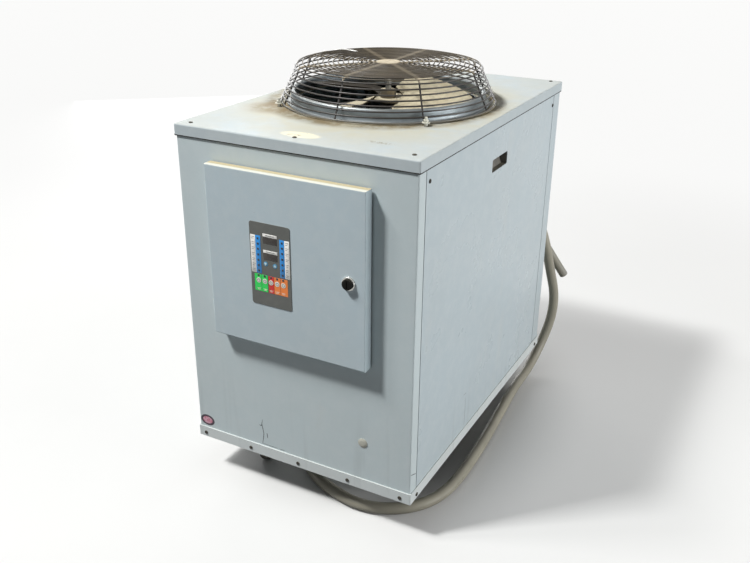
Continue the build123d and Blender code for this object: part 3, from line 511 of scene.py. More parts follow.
# %% Wire finishes
def coated_wire(name, top_dust, bare=srgb(40, 37, 34), dust_colour=srgb(164, 150, 128), band=0.0):
    """Dark coating with brown dust on its upper side; a band of cream dust over each of the eight ribs."""
    wire = Finish(name, roughness=0.45)
    chip = wire.span(wire.noise(48.0, 5.0, 0.7), 0.60, 0.72)
    base = wire.mix(wire.times(chip, 0.5), bare, srgb(112, 100, 84))
    patchy = wire.span(wire.noise(20.0, 5.0, 0.6), 0.25, 0.6, 0.40, 1.0)
    lying = wire.times(wire.upward(-0.2, 0.8), patchy, top_dust)
    foot = wire.span(wire.axis("Z"), TOP + 0.012, TOP + 0.004)
    base = wire.mix(wire.times(foot, 0.55), base, srgb(150, 148, 138))
    dusty = wire.mix(lying, base, dust_colour)
    if band:
        x, y = wire.axis("X"), wire.calc("SUBTRACT", wire.axis("Y"), FAN_Y)
        angle = wire.times(wire.calc("ARCTAN2", y, x), 4.0)
        reach = wire.calc("SQRT", wire.calc("ADD", wire.times(x, x), wire.times(y, y)))
        away = wire.times(wire.calc("ABSOLUTE", wire.calc("SINE", angle)), reach, 0.25)
        near = wire.times(wire.span(away, 0.011, 0.003), band)
        dusty = wire.mix(near, dusty, srgb(168, 156, 134))
    wire.colour(dusty)
    wire.rough(wire.calc("ADD", 0.34, wire.times(lying, 0.5)))
    wire.bump(wire.noise(240.0, 3.0), 0.3, 0.0004)
    return wire


side_wire = coated_wire("guard_side_wire", 0.16, srgb(30, 27, 25), srgb(120, 110, 96))
top_wire = coated_wire("guard_top_wire", 0.55, srgb(48, 42, 36), srgb(116, 105, 84), band=0.42)
print("wire finishes made")

# %% [markdown]
# ### Ribs and hub
# A rib is one wire, but its two halves weather differently: cream with dust under the top, nearly black
# down the side. One span over the height makes that change. The hub plate holds the thickest dust.

# %% Rib and hub finishes
def rib_finish():
    """Nearly black below the bend, cream above it."""
    wire = Finish("guard_rib_wire", roughness=0.5)
    level = wire.span(wire.axis("Z"), TOP + 0.094, TOP + 0.102)
    dark = wire.mix(wire.span(wire.noise(60.0, 4.0), 0.45, 0.7, 0.0, 0.4), srgb(34, 32, 30), srgb(84, 76, 66))
    cream = wire.mix(wire.span(wire.noise(40.0, 4.0), 0.35, 0.65), srgb(150, 138, 114), srgb(184, 171, 146))
    wire.colour(wire.mix(level, dark, cream))
    wire.bump(wire.noise(240.0, 3.0), 0.3, 0.0004)
    return wire


rib_wire = rib_finish()
hub_dust = Finish("guard_hub_dusty", roughness=0.8)
caked = hub_dust.span(hub_dust.noise(70.0, 5.0), 0.35, 0.65)
hub_dust.colour(hub_dust.mix(caked, srgb(176, 162, 136), srgb(206, 194, 168)))
hub_dust.bump(hub_dust.noise(180.0, 4.0), 0.4, 0.0006)
print("rib and hub finishes made")

# %% [markdown]
# ## Plastics and rubber
# Moulded parts share one recipe, a base colour with a fine pebble bump, some wear and some dust. The
# colour and the gloss do the rest.

# %% Plastics
def moulded(name, colour, roughness=0.5, pebble=0.15, wear=0.25, dust=0.3, worn=srgb(150, 148, 140)):
    """Moulded surface: pebbled, a little uneven in colour, dusty where it faces up."""
    skin = Finish(name, roughness=roughness)
    patches = skin.span(skin.noise(18.0, 5.0, 0.65), 0.45, 0.75)
    base = skin.mix(skin.times(patches, wear), colour, worn)
    lying = skin.times(skin.upward(0.2, 0.9), skin.span(skin.noise(30.0, 4.0), 0.3, 0.6))
    skin.colour(skin.mix(skin.times(lying, dust), base, DUST))
    skin.rough(skin.span(skin.noise(26.0, 3.0), 0.3, 0.7, roughness - 0.07, roughness + 0.07))
    skin.bump(skin.noise(420.0, 2.0), pebble, 0.0004)
    return skin


handle_plastic = moulded("handle_cup_plastic", srgb(104, 102, 96), 0.55)
fitting_plastic = moulded("conduit_fitting_plastic", srgb(128, 130, 130), 0.45)
motor_paint = moulded("motor_black_paint", srgb(40, 40, 40), 0.45, 0.2, 0.3, 0.7)
plate_paint = moulded("mounting_plate_paint", srgb(214, 214, 208), 0.4, 0.08, 0.1, 0.1)
switch_plastic = moulded("switchgear_plastic", srgb(58, 58, 60), 0.5)
foam_and_gap_shade = moulded("gasket_foam_and_gap_shade", srgb(34, 34, 34), 0.85, 0.6, 0.1, 0.2)
latch_black = moulded("latch_black_plastic", srgb(12, 12, 11), 0.7, 0.05, 0.05, 0.05)
latch_black.shader.inputs["Specular IOR Level"].default_value = 0.12
plug_plastic = moulded("plug_pale_plastic", srgb(184, 184, 172), 0.45, 0.1, 0.35, 0.3, srgb(140, 132, 112))
tyre = moulded("caster_tyre", srgb(74, 72, 68), 0.7, 0.4, 0.5, 0.5, srgb(132, 124, 108))
pad_film = moulded("keypad_dark_film", srgb(92, 94, 90), 0.42, 0.25, 0.12, 0.1)
print("plastics made")

# %% [markdown]
# ## Conduit jacket
# The conduit is smooth grey vinyl over a steel core. It shows slow changes of tone, some scuffs and a
# darker underside near the floor.

# %% Jacket
def jacket_finish(name, colour):
    """Smooth vinyl with scuffs, long tonal changes and darker near the floor."""
    skin = Finish(name, roughness=0.46, Specular_IOR_Level=0.35)
    tone = skin.span(skin.noise(5.0, 4.0), 0.3, 0.7)
    base = skin.mix(tone, colour, srgb(146, 142, 128))
    scuff = skin.span(skin.noise(70.0, 5.0, 0.75), 0.62, 0.74)
    base = skin.mix(skin.times(scuff, 0.5), base, srgb(112, 110, 104))
    # Darker towards the floor on the underside.
    low = skin.times(skin.span(skin.axis("Z"), 0.014, 0.003), 0.6)
    skin.colour(skin.mix(low, base, srgb(96, 92, 84)))
    skin.rough(skin.span(skin.noise(22.0, 4.0), 0.3, 0.7, 0.38, 0.56))
    skin.bump(skin.noise(150.0, 3.0), 0.12, 0.0005)
    return skin


jacket = jacket_finish("conduit_vinyl", srgb(160, 156, 140))
hose_skin = jacket_finish("hose_vinyl", srgb(160, 162, 160))
conduit.data.materials.append(jacket.material)
hose.data.materials.append(hose_skin.material)
print("jacket made")

# %% [markdown]
# ## Coil
# The condenser coil behind the intake is thousands of thin fins. At this distance they are lines, so a
# fine wave pattern in the material does the work of geometry, and its dark bands are painted shade in the
# gaps between the fins.

# %% Coil finish
def coil_finish():
    """Aluminium fins as fine upright lines with painted shade in the gaps between them, darkened by lint."""
    fins = Finish("coil_fins", roughness=0.45, metallic=0.7)
    wave = fins.add("ShaderNodeTexWave", Vector=fins.place, Scale=110.0, Distortion=0.15)
    wave.bands_direction = "X"
    fins_and_gap_shade = wave.outputs["Fac"]
    # Dark bands between the fin lines: painted shade in the gaps between fins.
    base = fins.mix(fins.span(fins_and_gap_shade, 0.3, 0.7), srgb(50, 50, 50), srgb(150, 150, 148))
    lint = fins.span(fins.noise(12.0, 6.0, 0.65), 0.4, 0.7)
    fins.colour(fins.mix(fins.times(lint, 0.5), base, srgb(104, 98, 86)))
    fins.bump(fins_and_gap_shade, 0.6, 0.002)
    return fins


coil = coil_finish()
print("coil finish made")

# %% [markdown]
# ## Who wears what
# One table names the finish of most CAD nodes, so the whole colour scheme can be read and changed in one
# place. The four wheels are found by their names; any node outside the table, such as the forks, gets
# plated steel.

# %% Finishes of the CAD nodes
NODE_FINISH = {
    "base_tray": rail_paint, "front_panel": front_paint_with_painted_light, "door_skin": door_paint, "top_cover": cover_paint,
    "left_side_panel": side_paint, "right_side_panel": side_paint, "back_panel": back_paint,
    "left_handle_cup": handle_plastic, "right_handle_cup": handle_plastic, "intake_grille": aluminium,
    "condenser_coil": coil, "fan_collar": collar_zinc, "guard_side_rings": side_wire,
    "guard_top_rings": top_wire, "guard_ribs": rib_wire, "guard_hub": hub_dust, "guard_clips": dusty_clip,
    "fan_motor": motor_paint, "motor_bracket": zinc, "fan_shaft": plated, "fan_propeller": blade_metal,
    "control_box": zinc, "sub_panel": plate_paint, "switchgear": switch_plastic,
    "hinge_sockets": front_paint_with_painted_light, "hinge_leaves": door_paint, "door_gasket": foam_and_gap_shade, "keypad": pad_film,
    "latch_bezel": chrome, "latch_head": latch_black, "plug_button": plug_plastic,
    "water_inlet": aluminium, "water_outlet": aluminium, "drain_valve": brass,
    "conduit_elbow": fitting_plastic, "hose_elbow": fitting_plastic, "conduit_fitting": fitting_plastic,
    "caster_plates": plated, "power_conduit": jacket, "drain_hose": hose_skin,
}
for name, node in nodes.items():
    finish = NODE_FINISH.get(name)
    if finish is None:
        finish = tyre if name.startswith("caster_wheel") else plated
    node.data.materials.clear()
    node.data.materials.append(finish.material)
print("finished nodes:", len(nodes))

# %% [markdown]
# ## Fan guard
# The guard is a basket of welded wire: eight rings climb its side, sixteen make its flat top, and eight
# ribs under them hold all. CAD draws the rings as flat-sided bands. Here each ring is a torus, a small
# circle carried round a large one, and all rings of one kind are worked out in one block of numbers.

# %% Line of the guard
GUARD_FOOT_R, GUARD_SHOULDER_R, GUARD_BEND, GUARD_HUB_R = 0.3015, 0.2625, 0.0195, 0.033
SIDE_WIRE, TOP_WIRE, RIB_WIRE = 0.0044, 0.0035, 0.0050
SIDE_PITCH, TOP_PITCH, OUTER_TOP_RING = 0.0129, 0.01405, 0.2535
GUARD_FOOT_Z, GUARD_TOP_Z = TOP + 0.0055, TOP + 0.1075
BEND_R, BEND_Z = GUARD_SHOULDER_R - GUARD_BEND, GUARD_TOP_Z - GUARD_BEND


def side_line(height):
    """Radius at a height: a straight taper up to the bend, then a quarter circle inwards."""
    share = (height - GUARD_FOOT_Z) / (BEND_Z - GUARD_FOOT_Z)
    over = np.clip(height - BEND_Z, 0.0, GUARD_BEND)
    bent = BEND_R + np.sqrt(GUARD_BEND ** 2 - over ** 2)
    return np.where(height > BEND_Z, bent, GUARD_FOOT_R - (GUARD_FOOT_R - GUARD_SHOULDER_R) * share)


def top_line(radius):
    """Height at a radius: flat inside the bend, a quarter circle down outside it."""
    over = np.clip(radius - BEND_R, 0.0, GUARD_BEND)
    return BEND_Z + np.sqrt(GUARD_BEND ** 2 - over ** 2)


side_z = GUARD_FOOT_Z + SIDE_PITCH * np.arange(8)
side_r = side_line(side_z)
top_r = OUTER_TOP_RING - TOP_PITCH * np.arange(16)
top_z = top_line(top_r)
print("side rings from", round(float(side_r[0]), 4), "to", round(float(side_r[-1]), 4))

# %% [markdown]
# ### Guard rings
# A torus needs two angles: one round the fan, one round the wire. The rings aren't quite alike on a
# real guard, so each is lifted and lowered by a fraction of a millimetre on its way round.

# %% Guard rings
def wire_rings(name, radii, heights, wire, around=120, across=8):
    """Tori: angle t goes round the fan, angle p round the wire, with a slow small rise and fall over t."""
    t = full_turn(around)[None, :, None]
    p = full_turn(across)[None, None, :]
    phase = np.arange(len(radii))[:, None, None] * 1.7
    waver = 0.0003
    reach = radii[:, None, None] + wire / 2 * np.cos(p) + waver * np.sin(2 * t + phase)
    level = heights[:, None, None] + wire / 2 * np.sin(p) + waver * np.sin(3 * t + phase)
    points = np.stack([reach * np.cos(t), FAN_Y + reach * np.sin(t), level], -1)
    return grid_mesh(name, points, wrap_u=True, crease=80)


side_rings = wire_rings("guard_side_wires", side_r, side_z, SIDE_WIRE)
top_rings = wire_rings("guard_top_wires", top_r, top_z, TOP_WIRE, across=7)
finish_piece(side_rings, side_wire, stands_for=["guard_side_rings"])
finish_piece(top_rings, top_wire, stands_for=["guard_top_rings"])
print("rings:", len(side_r), "+", len(top_r))

# %% [markdown]
# ### Guard ribs
# Each rib is one wire that starts under the hub plate, runs out below the top rings, goes round the
# bend and down inside the side rings. Its path is the guard's own line, moved in by the two half wires.

# %% Guard ribs
def guard_ribs():
    """Path: flat from the hub, a quarter circle round the bend, a straight taper; turned in eight steps."""
    weld = 0.00025
    gap = (TOP_WIRE + RIB_WIRE) / 2 - weld
    turn = np.radians(np.linspace(90, 0, 12))
    inner = GUARD_BEND - gap
    bend = np.stack([BEND_R + inner * np.cos(turn), BEND_Z + inner * np.sin(turn)], -1)
    flat_r = np.linspace(GUARD_HUB_R - 0.010, BEND_R - 0.002, 20)
    flat = np.stack([flat_r, np.full(20, GUARD_TOP_Z - gap)], -1)
    down = np.linspace(0.05, 1.0, 16)[:, None]
    foot = bend[-1] + ([GUARD_FOOT_R - gap, GUARD_FOOT_Z] - bend[-1]) * down
    path = np.concatenate([flat, bend, foot])
    angle = np.radians(np.arange(8) * 45.0)[:, None]
    points = np.stack([path[None, :, 0] * np.cos(angle), FAN_Y + path[None, :, 0] * np.sin(angle),
                       path[None, :, 1] + 0 * angle], -1)
    blocks = [tube(one, RIB_WIRE / 2, 8) for one in points]
    return grid_mesh("guard_rib_wires", np.stack(blocks), crease=80)


ribs = finish_piece(guard_ribs(), rib_wire, stands_for=["guard_ribs"])
print("rib faces:", len(ribs.data.polygons))

# %% [markdown]
# ## Fan collar
# The collar is spun sheet: a profile turned about the fan's axis. CAD has the same profile in flat
# steps. Turned finely here, with the rolled groove at half height, it catches long clean highlights.

# %% Collar
def turned(profile, around=160):
    """A closed (radius, height) outline turned about the fan's axis."""
    t = full_turn(around)[:, None]
    reach, level = profile[None, :, 0], profile[None, :, 1]
    return np.stack([reach * np.cos(t), FAN_Y + reach * np.sin(t), level + 0 * t], -1)


def collar():
    """Foot flange, upright band with a half-round groove, and a lip rolled inwards over half a turn."""
    outer_r, lip, sheet, height = 0.2735, 0.006, 0.0018, 0.035
    groove_z, groove_depth, groove_half = TOP + 0.0135, 0.0017, 0.0022
    lip_z = TOP + height - lip
    roll = np.radians(np.linspace(0, 180, 13))
    outer = np.stack([outer_r - lip + lip * np.cos(roll), lip_z + lip * np.sin(roll)], -1)
    bore = lip - sheet
    inner = np.stack([outer_r - lip + bore * np.cos(roll), lip_z + bore * np.sin(roll)], -1)[::-1]
    dip = np.radians(np.linspace(-90, 90, 9))
    groove = np.stack([outer_r - groove_depth * np.cos(dip), groove_z + groove_half * np.sin(dip)], -1)
    foot = np.array([[outer_r - 0.0015, TOP], [outer_r + 0.0110, TOP], [outer_r + 0.0120, TOP + 0.0008],
                     [outer_r + 0.0115, TOP + 0.0018], [outer_r + 0.0020, TOP + 0.002],
                     [outer_r + 0.0005, TOP + 0.0045], [outer_r, TOP + 0.009]])
    back = np.array([[outer_r - sheet - 0.0018, TOP + 0.018], [outer_r - sheet - 0.0018, TOP + 0.008]])
    profile = np.concatenate([foot, groove, outer, inner, back])
    return grid_mesh("fan_collar_spun", turned(profile), wrap_u=True, crease=50)


collar_piece = finish_piece(collar(), collar_zinc, stands_for=["fan_collar"])
print("collar faces:", len(collar_piece.data.polygons))

# %% [markdown]
# ## Gap shade strips
# Dark strips under the cover's skirt and in the gaps beside the two side panels stand in for the shade in
# those gaps: painted shade, in the same dark material as the door's foam gasket. A line this thin could be
# painted on, but real strips cast and catch light as the gaps do. Each strip is a run of rectangles, closed
# at its ends or on itself.

# %% Gap shade strips
def gap_shade_ring(half_x, half_y, low, high, depth):
    """A rectangular band round the cabinet: four corners, carried round the band's own four-sided section."""
    corner = np.array([[1.0, 1.0], [-1.0, 1.0], [-1.0, -1.0], [1.0, -1.0]])
    section = [(0.0, low), (depth, low), (depth, high), (0.0, high)]
    rows = [np.column_stack([corner * [half_x + out, half_y + out], np.full(4, z)]) for out, z in section]
    return np.stack(rows)


def gap_shade_bar(x0, x1, y0, y1, z0, z1):
    """An upright bar: its outline at two heights, drawn in to a point at each end."""
    outline = np.array([[x0, y0], [x1, y0], [x1, y1], [x0, y1]])
    middle = np.broadcast_to(outline.mean(0), outline.shape)
    rows = [(middle, z0), (outline, z0), (outline, z1), (middle, z1)]
    return np.stack([np.column_stack([points, np.full(4, z)]) for points, z in rows])


SKIRT_LOW = edge("top_cover", "z")
PANEL_FRONT, PANEL_BACK = edge("right_side_panel", "y"), edge("right_side_panel", "y", far=True)
SEAM, GAP_SHADE_DEPTH, GAP_SHADE_BELOW, GAP_SHADE_ABOVE = 0.003, 0.0028, 0.0030, 0.0015
BAR_INNER, BAR_OUTER, BAR_LIFT = SIDE - 0.006, SIDE - 0.002, 0.004
# Dark strips in the gaps under the skirt and beside the side panels: painted shade.
skirt_band = gap_shade_ring(SIDE, BACK, SKIRT_LOW - GAP_SHADE_BELOW, SKIRT_LOW + GAP_SHADE_ABOVE, GAP_SHADE_DEPTH)
finish_piece(grid_mesh("cover_gap_shade_strip", skirt_band, wrap_u=True, crease=30), foam_and_gap_shade)
gaps = [(side * BAR_INNER, side * BAR_OUTER, *seam) for side in (-1, 1)
        for seam in ((PANEL_FRONT - SEAM, PANEL_FRONT), (PANEL_BACK, PANEL_BACK + SEAM))]
bars = np.stack([gap_shade_bar(*gap, BASE + BAR_LIFT, SKIRT_LOW) for gap in gaps])
finish_piece(grid_mesh("panel_gap_shade_strips", bars, crease=30), foam_and_gap_shade)
print("seals:", 1 + len(gaps))

# %% [markdown]
# ## Screws
# Cover, panels and base rail are held by small cross-recess screws. Each head is a low dome whose
# middle drops where the cross is cut. All heads are one mesh.

# %% Screw heads
def screw_heads(name, places, facing, radius=0.0055, height=0.0024):
    """Domes on polar grids; the height falls by the recess depth near the two arms of the cross."""
    places = np.asarray(places, float)
    facing = np.broadcast_to(np.asarray(facing, float), places.shape)
    guide = np.where(np.abs(facing[:, 2:3]) > 0.5, [[1.0, 0.0, 0.0]], [[0.0, 0.0, 1.0]])
    side = np.cross(facing, guide)
    up = np.cross(side, facing)
    share = np.array([1.0, 1.0, 0.93, 0.75, 0.52, 0.5, 0.3, 0.12, 0.0])[:, None]
    rise = np.array([0.0, 0.45, 0.72, 0.92, 1.0, 1.0, 1.0, 1.0, 1.0])[:, None]
    turn = full_turn(32)[None, :] + 0.3
    u, v = share * np.cos(turn), share * np.sin(turn)
    arm_width, arm_reach, depth = 0.13, 0.51, 0.62
    cut = (np.minimum(np.abs(u), np.abs(v)) < arm_width) & (share < arm_reach)
    level = rise - depth * cut
    flat = u[..., None] * side[:, None, None] + v[..., None] * up[:, None, None]
    points = places[:, None, None] + radius * flat + height * level[..., None] * facing[:, None, None]
    return grid_mesh(name, points, crease=45)


rail_row = (-0.321, -0.161, -0.002, 0.156, 0.3145)
RAIL_SIDE = SIDE + 0.003
rail_screws = [(x, y, BASE + 0.013) for y in (RAIL_FACE, -RAIL_FACE) for x in rail_row]
rail_side = [(s * RAIL_SIDE, y, BASE + 0.012) for s in (-1, 1) for y in (-0.483, 0.483)]
side_corner = [(s * SIDE, y, z) for s in (-1, 1) for y, z in ((-0.462, 0.981), (0.446, 0.980))]
cover_screws = [(-0.3105, -0.495, TOP), (-0.0025, -0.489, TOP), (0.3126, -0.483, TOP), (-0.312, 0.498, TOP),
                (0.0, 0.498, TOP), (0.315, 0.498, TOP)]
places = rail_screws + rail_side + side_corner + cover_screws
facing = [(0, np.sign(p[1]), 0) for p in rail_screws]
facing += [(np.sign(p[0]), 0, 0) for p in rail_side + side_corner]
facing += [(0, 0, 1)] * len(cover_screws)
screw_steel = metal("screw_steel", srgb(44, 42, 40), 0.5, 0.1, 0.12)
finish_piece(screw_heads("panel_screws", places, facing), screw_steel)
print("screws:", len(places))

# %% [markdown]
# ## Keypad
# The keypad is a printed film: pale label columns, two dark display windows, two rows of lights, arrows
# and five coloured keys. Each print is a thin raised plate with a rounded outline, which gives the film
# its slight relief. The label columns carry short grey bars.

# %% Thin rounded plates
def rounded_plates(name, boxes, base_y, thick, corner, per_corner=6):
    """Plates facing the front: rounded outlines at three levels, drawn in to a point at the middle."""
    boxes = np.asarray(boxes, float)
    turn = np.radians(np.arange(4)[:, None] * 90.0 + np.linspace(0, 90, per_corner)).ravel()
    sign = np.repeat([[1, 1], [-1, 1], [-1, -1], [1, -1]], per_corner, axis=0)
    inset = np.array([0.0, 0.0, 0.0002, 1.0])[:, None]
    level = np.array([0.0, 0.75, 1.0, 1.0])[:, None] * thick
    half = np.stack([boxes[:, 1] - boxes[:, 0], boxes[:, 3] - boxes[:, 2]], -1) / 2
    middle = np.stack([boxes[:, 0] + boxes[:, 1], boxes[:, 2] + boxes[:, 3]], -1) / 2
    curve = np.minimum(corner, half.min(1) * 0.999)[:, None, None]
    keep = np.where(inset < 0.5, 1.0, 0.0)
    bend = curve - np.minimum(inset, 0.0002)
    u = (sign[:, 0] * (half[:, 0, None, None] - curve) + bend * np.cos(turn)) * keep
    v = (sign[:, 1] * (half[:, 1, None, None] - curve) + bend * np.sin(turn)) * keep
    middle = middle[:, :, None, None]
    points = np.stack([middle[:, 0] + u, base_y - level + 0 * u, middle[:, 1] + v], -1)
    return grid_mesh(name, points, crease=30)


def on_pad(x0, x1, z0, z1):
    """A box given in millimetres from the keypad's lower left corner."""
    return (PAD_X + 0.001 * x0, PAD_X + 0.001 * x1, PAD_Z + 0.001 * z0, PAD_Z + 0.001 * z1)


def box_at(x, z, width, height=None):
    """The box of a plate from its middle on the keypad and its size, in millimetres."""
    height = height or width
    return on_pad(x - width / 2, x + width / 2, z - height / 2, z + height / 2)


PAD_X, PAD_Z = edge("keypad", "x"), edge("keypad", "z")
print("keypad corner", round(PAD_X, 4), round(PAD_Z, 4))

# %% [markdown]
# ### Prints
# One table lists every kind of print: its boxes, its colour, how far it stands proud and how round its
# corners are. The pale bars low on the coloured keys are painted highlights, not print. Lights and keys
# repeat on regular rows, so short loops write their boxes.

# %% Keypad prints
def printed(name, colour, roughness=0.4, dirt=0.12):
    """Screen print under clear film: nearly even colour, fine texture, a little dirt."""
    film = Finish(name, roughness=roughness)
    grey = film.span(film.noise(35.0, 5.0, 0.7), 0.45, 0.75)
    film.colour(film.mix(film.times(grey, dirt), colour, srgb(128, 124, 112)))
    film.bump(film.noise(500.0, 2.0), 0.12, 0.0003)
    return film


light_rows = (94.5, 108.9, 122.9, 137.5, 152.9, 166.9, 180.9)
key_x = (22.6, 41.4, 60.0, 78.4, 97.0)
KEY_ROW, ARROW_DOWN, ARROW_UP = 67.1, (46.0, 115.5), (74.0, 114.5)
COLUMN_LOW, COLUMN_HIGH, KEY_LOW, KEY_HIGH, SCREEN_LEFT, SCREEN_RIGHT = 87.1, 188.5, 38.0, 84.0, 40.0, 82.0
white, blue = ([on_pad(x0, x1, COLUMN_LOW, COLUMN_HIGH) for x0, x1 in spans] for spans in (
    ((2.6, 17.4), (103.6, 118.0)), ((17.4, 32.6), (89.0, 103.6))))
titles, windows = ([on_pad(SCREEN_LEFT, SCREEN_RIGHT, z0, z1) for z0, z1 in spans] for spans in (
    ((188.5, 196.5), (145.5, 153.1)), ((170.1, 187.1), (126.9, 144.1))))
green, red, orange = ([on_pad(x0, x1, KEY_LOW, KEY_HIGH) for x0, x1 in spans] for spans in (
    ((10.6, 30.6), (31.6, 50.0)), ((52.6, 68.6),), ((69.4, 88.0), (89.0, 110.0))))
bars = [box_at(x + shift, z + rise, size, 1.6) for x in (10.0, 110.8) for z in light_rows
        for rise, shift, size in ((2.0, 0.0, 9.0), (-2.4, -1.2, 6.4))]
bars += [box_at(61.0, z, 26.0, 2.2) for z in (192.5, 149.3)]
lights = [box_at(x, z, 5.4) for x in (24.5, 96.5) for z in light_rows]
lights += [box_at(x, 80.9, 5.6) for x in key_x]
# Two pale bars low on each coloured key: painted highlights.
glints = [box_at(x, 45.2 - drop, wide, 1.3) for x in key_x for drop, wide in ((0.0, 11.0), (3.2, 8.0))]
buttons = [box_at(x, KEY_ROW, 13.8) for x in key_x]
discs = [box_at(*spot, 12.5) for spot in (ARROW_DOWN, ARROW_UP)]
prints = {
    "label_white": (white + titles, srgb(250, 248, 242), 0.0004, 0.0006),
    "label_bar": (bars, srgb(150, 150, 148), 0.0006, 0.0004),
    "strip_blue": (blue, srgb(48, 146, 222), 0.0004, 0.0006),
    "window_dark": (windows, srgb(40, 33, 28), 0.0003, 0.001),
    "key_green": (green, srgb(44, 226, 96), 0.0005, 0.0012),
    "key_red": (red, srgb(218, 46, 38), 0.0005, 0.0012),
    "key_orange": (orange, srgb(252, 140, 66), 0.0005, 0.0012),
    "key_painted_glint": (glints, srgb(236, 226, 206), 0.0007, 0.0004),
    "light_dot": (lights, srgb(20, 26, 38), 0.0010, 0.0010),
    "key_button": (buttons, srgb(240, 238, 228), 0.0009, 0.0069),
    "arrow_disc": (discs, srgb(84, 150, 186), 0.0004, 0.0062),
}
for name, (boxes, colour, thick, corner) in prints.items():
    roughness = 0.2 if name == "window_dark" else 0.4
    dirt = 0.02 if name == "label_white" else 0.12
    film = printed("print_" + name, colour, roughness, dirt)
    piece = rounded_plates("keypad_" + name, boxes, PAD_FACE, thick, corner)
    finish_piece(piece, film, "door")
print("keypad prints:", len(prints))

# %% [markdown]
# ### Arrows and rings
# An arrow is a triangle with its edge bevelled by a second, smaller outline. The round buttons carry a
# plain ring each, drawn as a flat band between two circles.

# %% Keypad arrows and rings
def on_film(x, z):
    """A keypad place in millimetres, in metres in the frame."""
    return PAD_X + 0.001 * np.asarray(x), PAD_Z + 0.001 * z


def arrow(place, first_corner, size=0.0046):
    """Small triangle: a three-sided outline at two levels, drawn in to its middle."""
    x, z = on_film(*place)
    turn = np.radians(first_corner + np.array([0.0, 120.0, 240.0]))
    reach = np.array([1.0, 1.0, 0.94, 0.0])[:, None] * size
    level = np.array([0.0003, 0.0008, 0.0010, 0.0010])[:, None] + 0 * turn
    return np.stack([x + reach * np.cos(turn), PAD_FACE - level, z + reach * np.sin(turn)], -1)


def button_rings(places, row):
    """Flat rings on the buttons: two radii at two heights, closed round the section."""
    x, z = on_film(places, row)
    turn = full_turn(24)[None, None, :]
    reach = np.array([0.0041, 0.0041, 0.0032, 0.0032])[None, :, None]
    level = np.array([0.0007, 0.0012, 0.0012, 0.0007])[None, :, None]
    across = x[:, None, None] + reach * np.cos(turn)
    return np.stack([across, PAD_FACE - level + 0 * across, z + reach * np.sin(turn) + 0 * across], -1)


arrows = grid_mesh("keypad_arrows", np.stack([arrow(ARROW_DOWN, 270.0), arrow(ARROW_UP, 90.0)]))
finish_piece(arrows, printed("print_arrow_pale", srgb(214, 236, 240)), "door")
rings = grid_mesh("keypad_button_rings", button_rings(key_x, KEY_ROW), wrap_u=True)
finish_piece(rings, printed("print_ring_grey", srgb(120, 122, 116)), "door")
print("arrows and rings made")

# %% [markdown]
# ## Sticker
# A small oval sticker sits low on the left of the front, with a dark ring and a rubbed pink middle. An
# ellipse drawn in to a point closes it without any loose edge.

# %% Oval sticker
STICKER_X, STICKER_Z = -0.3146, 0.168
RING_HALF, MIDDLE_HALF = (0.0245, 0.0175), (0.0172, 0.0112)


def oval_plate(name, half_x, half_z, levels, rim):
    """An ellipse at three levels above the front panel: full size, rim size, a point."""
    turn = full_turn(48)[None, :]
    reach = np.array([1.0, rim, 0.0])[:, None]
    level = np.asarray(levels)[:, None] + 0 * turn
    x, z = STICKER_X + half_x * reach * np.cos(turn), STICKER_Z + half_z * reach * np.sin(turn)
    return grid_mesh(name, np.stack([x, FRONT - level, z], -1), crease=30)


ring_print = printed("sticker_ring_print", srgb(44, 20, 40), 0.35, 0.05)
middle_print = Finish("sticker_middle_print", roughness=0.4)
rubbed = middle_print.span(middle_print.noise(130.0, 4.0, 0.7), 0.35, 0.6)
middle_print.colour(middle_print.mix(rubbed, srgb(190, 96, 122), srgb(216, 178, 190)))
sticker = oval_plate("oval_sticker", *RING_HALF, [0.0, 0.0003, 0.0003], 0.99)
finish_piece(sticker, ring_print)
middle = oval_plate("oval_sticker_middle", *MIDDLE_HALF, [0.0002, 0.0005, 0.0005], 0.98)
finish_piece(middle, middle_print)
print("sticker at", STICKER_X, STICKER_Z)

# %% [markdown]
# ## Scores in the paint
# Something has scored the paint low on the front and on the side. A texture could draw the scores, but
# each one has its own place, so each is a thin ribbon with pointed ends that lies on the panel.

# %% Scores in the paint
def ribbon(points, width, normal_axis, face, lift=0.00015):
    """A flat strip with pointed ends along a wavering line on a panel."""
    points = np.asarray(points, float)
    share = np.linspace(0, 1, 24)
    knots = np.linspace(0, 1, len(points))
    line = np.stack([np.interp(share, knots, points[:, 0]), np.interp(share, knots, points[:, 1])], -1)
    along = np.gradient(line, axis=0)
    across = np.stack([-along[:, 1], along[:, 0]], -1) / np.linalg.norm(along, axis=1, keepdims=True)
    size = width / 2 * np.sin(np.pi * np.clip(share, 0.04, 0.96)) ** 0.4
    edges = line[:, None] + across[:, None] * (size[:, None] * np.array([-1.0, 1.0]))[..., None]
    level = np.full(edges.shape[:2], face)
    if normal_axis == "y":
        return np.stack([edges[..., 0], level - lift, edges[..., 1]], -1)
    return np.stack([level + lift, edges[..., 0], edges[..., 1]], -1)


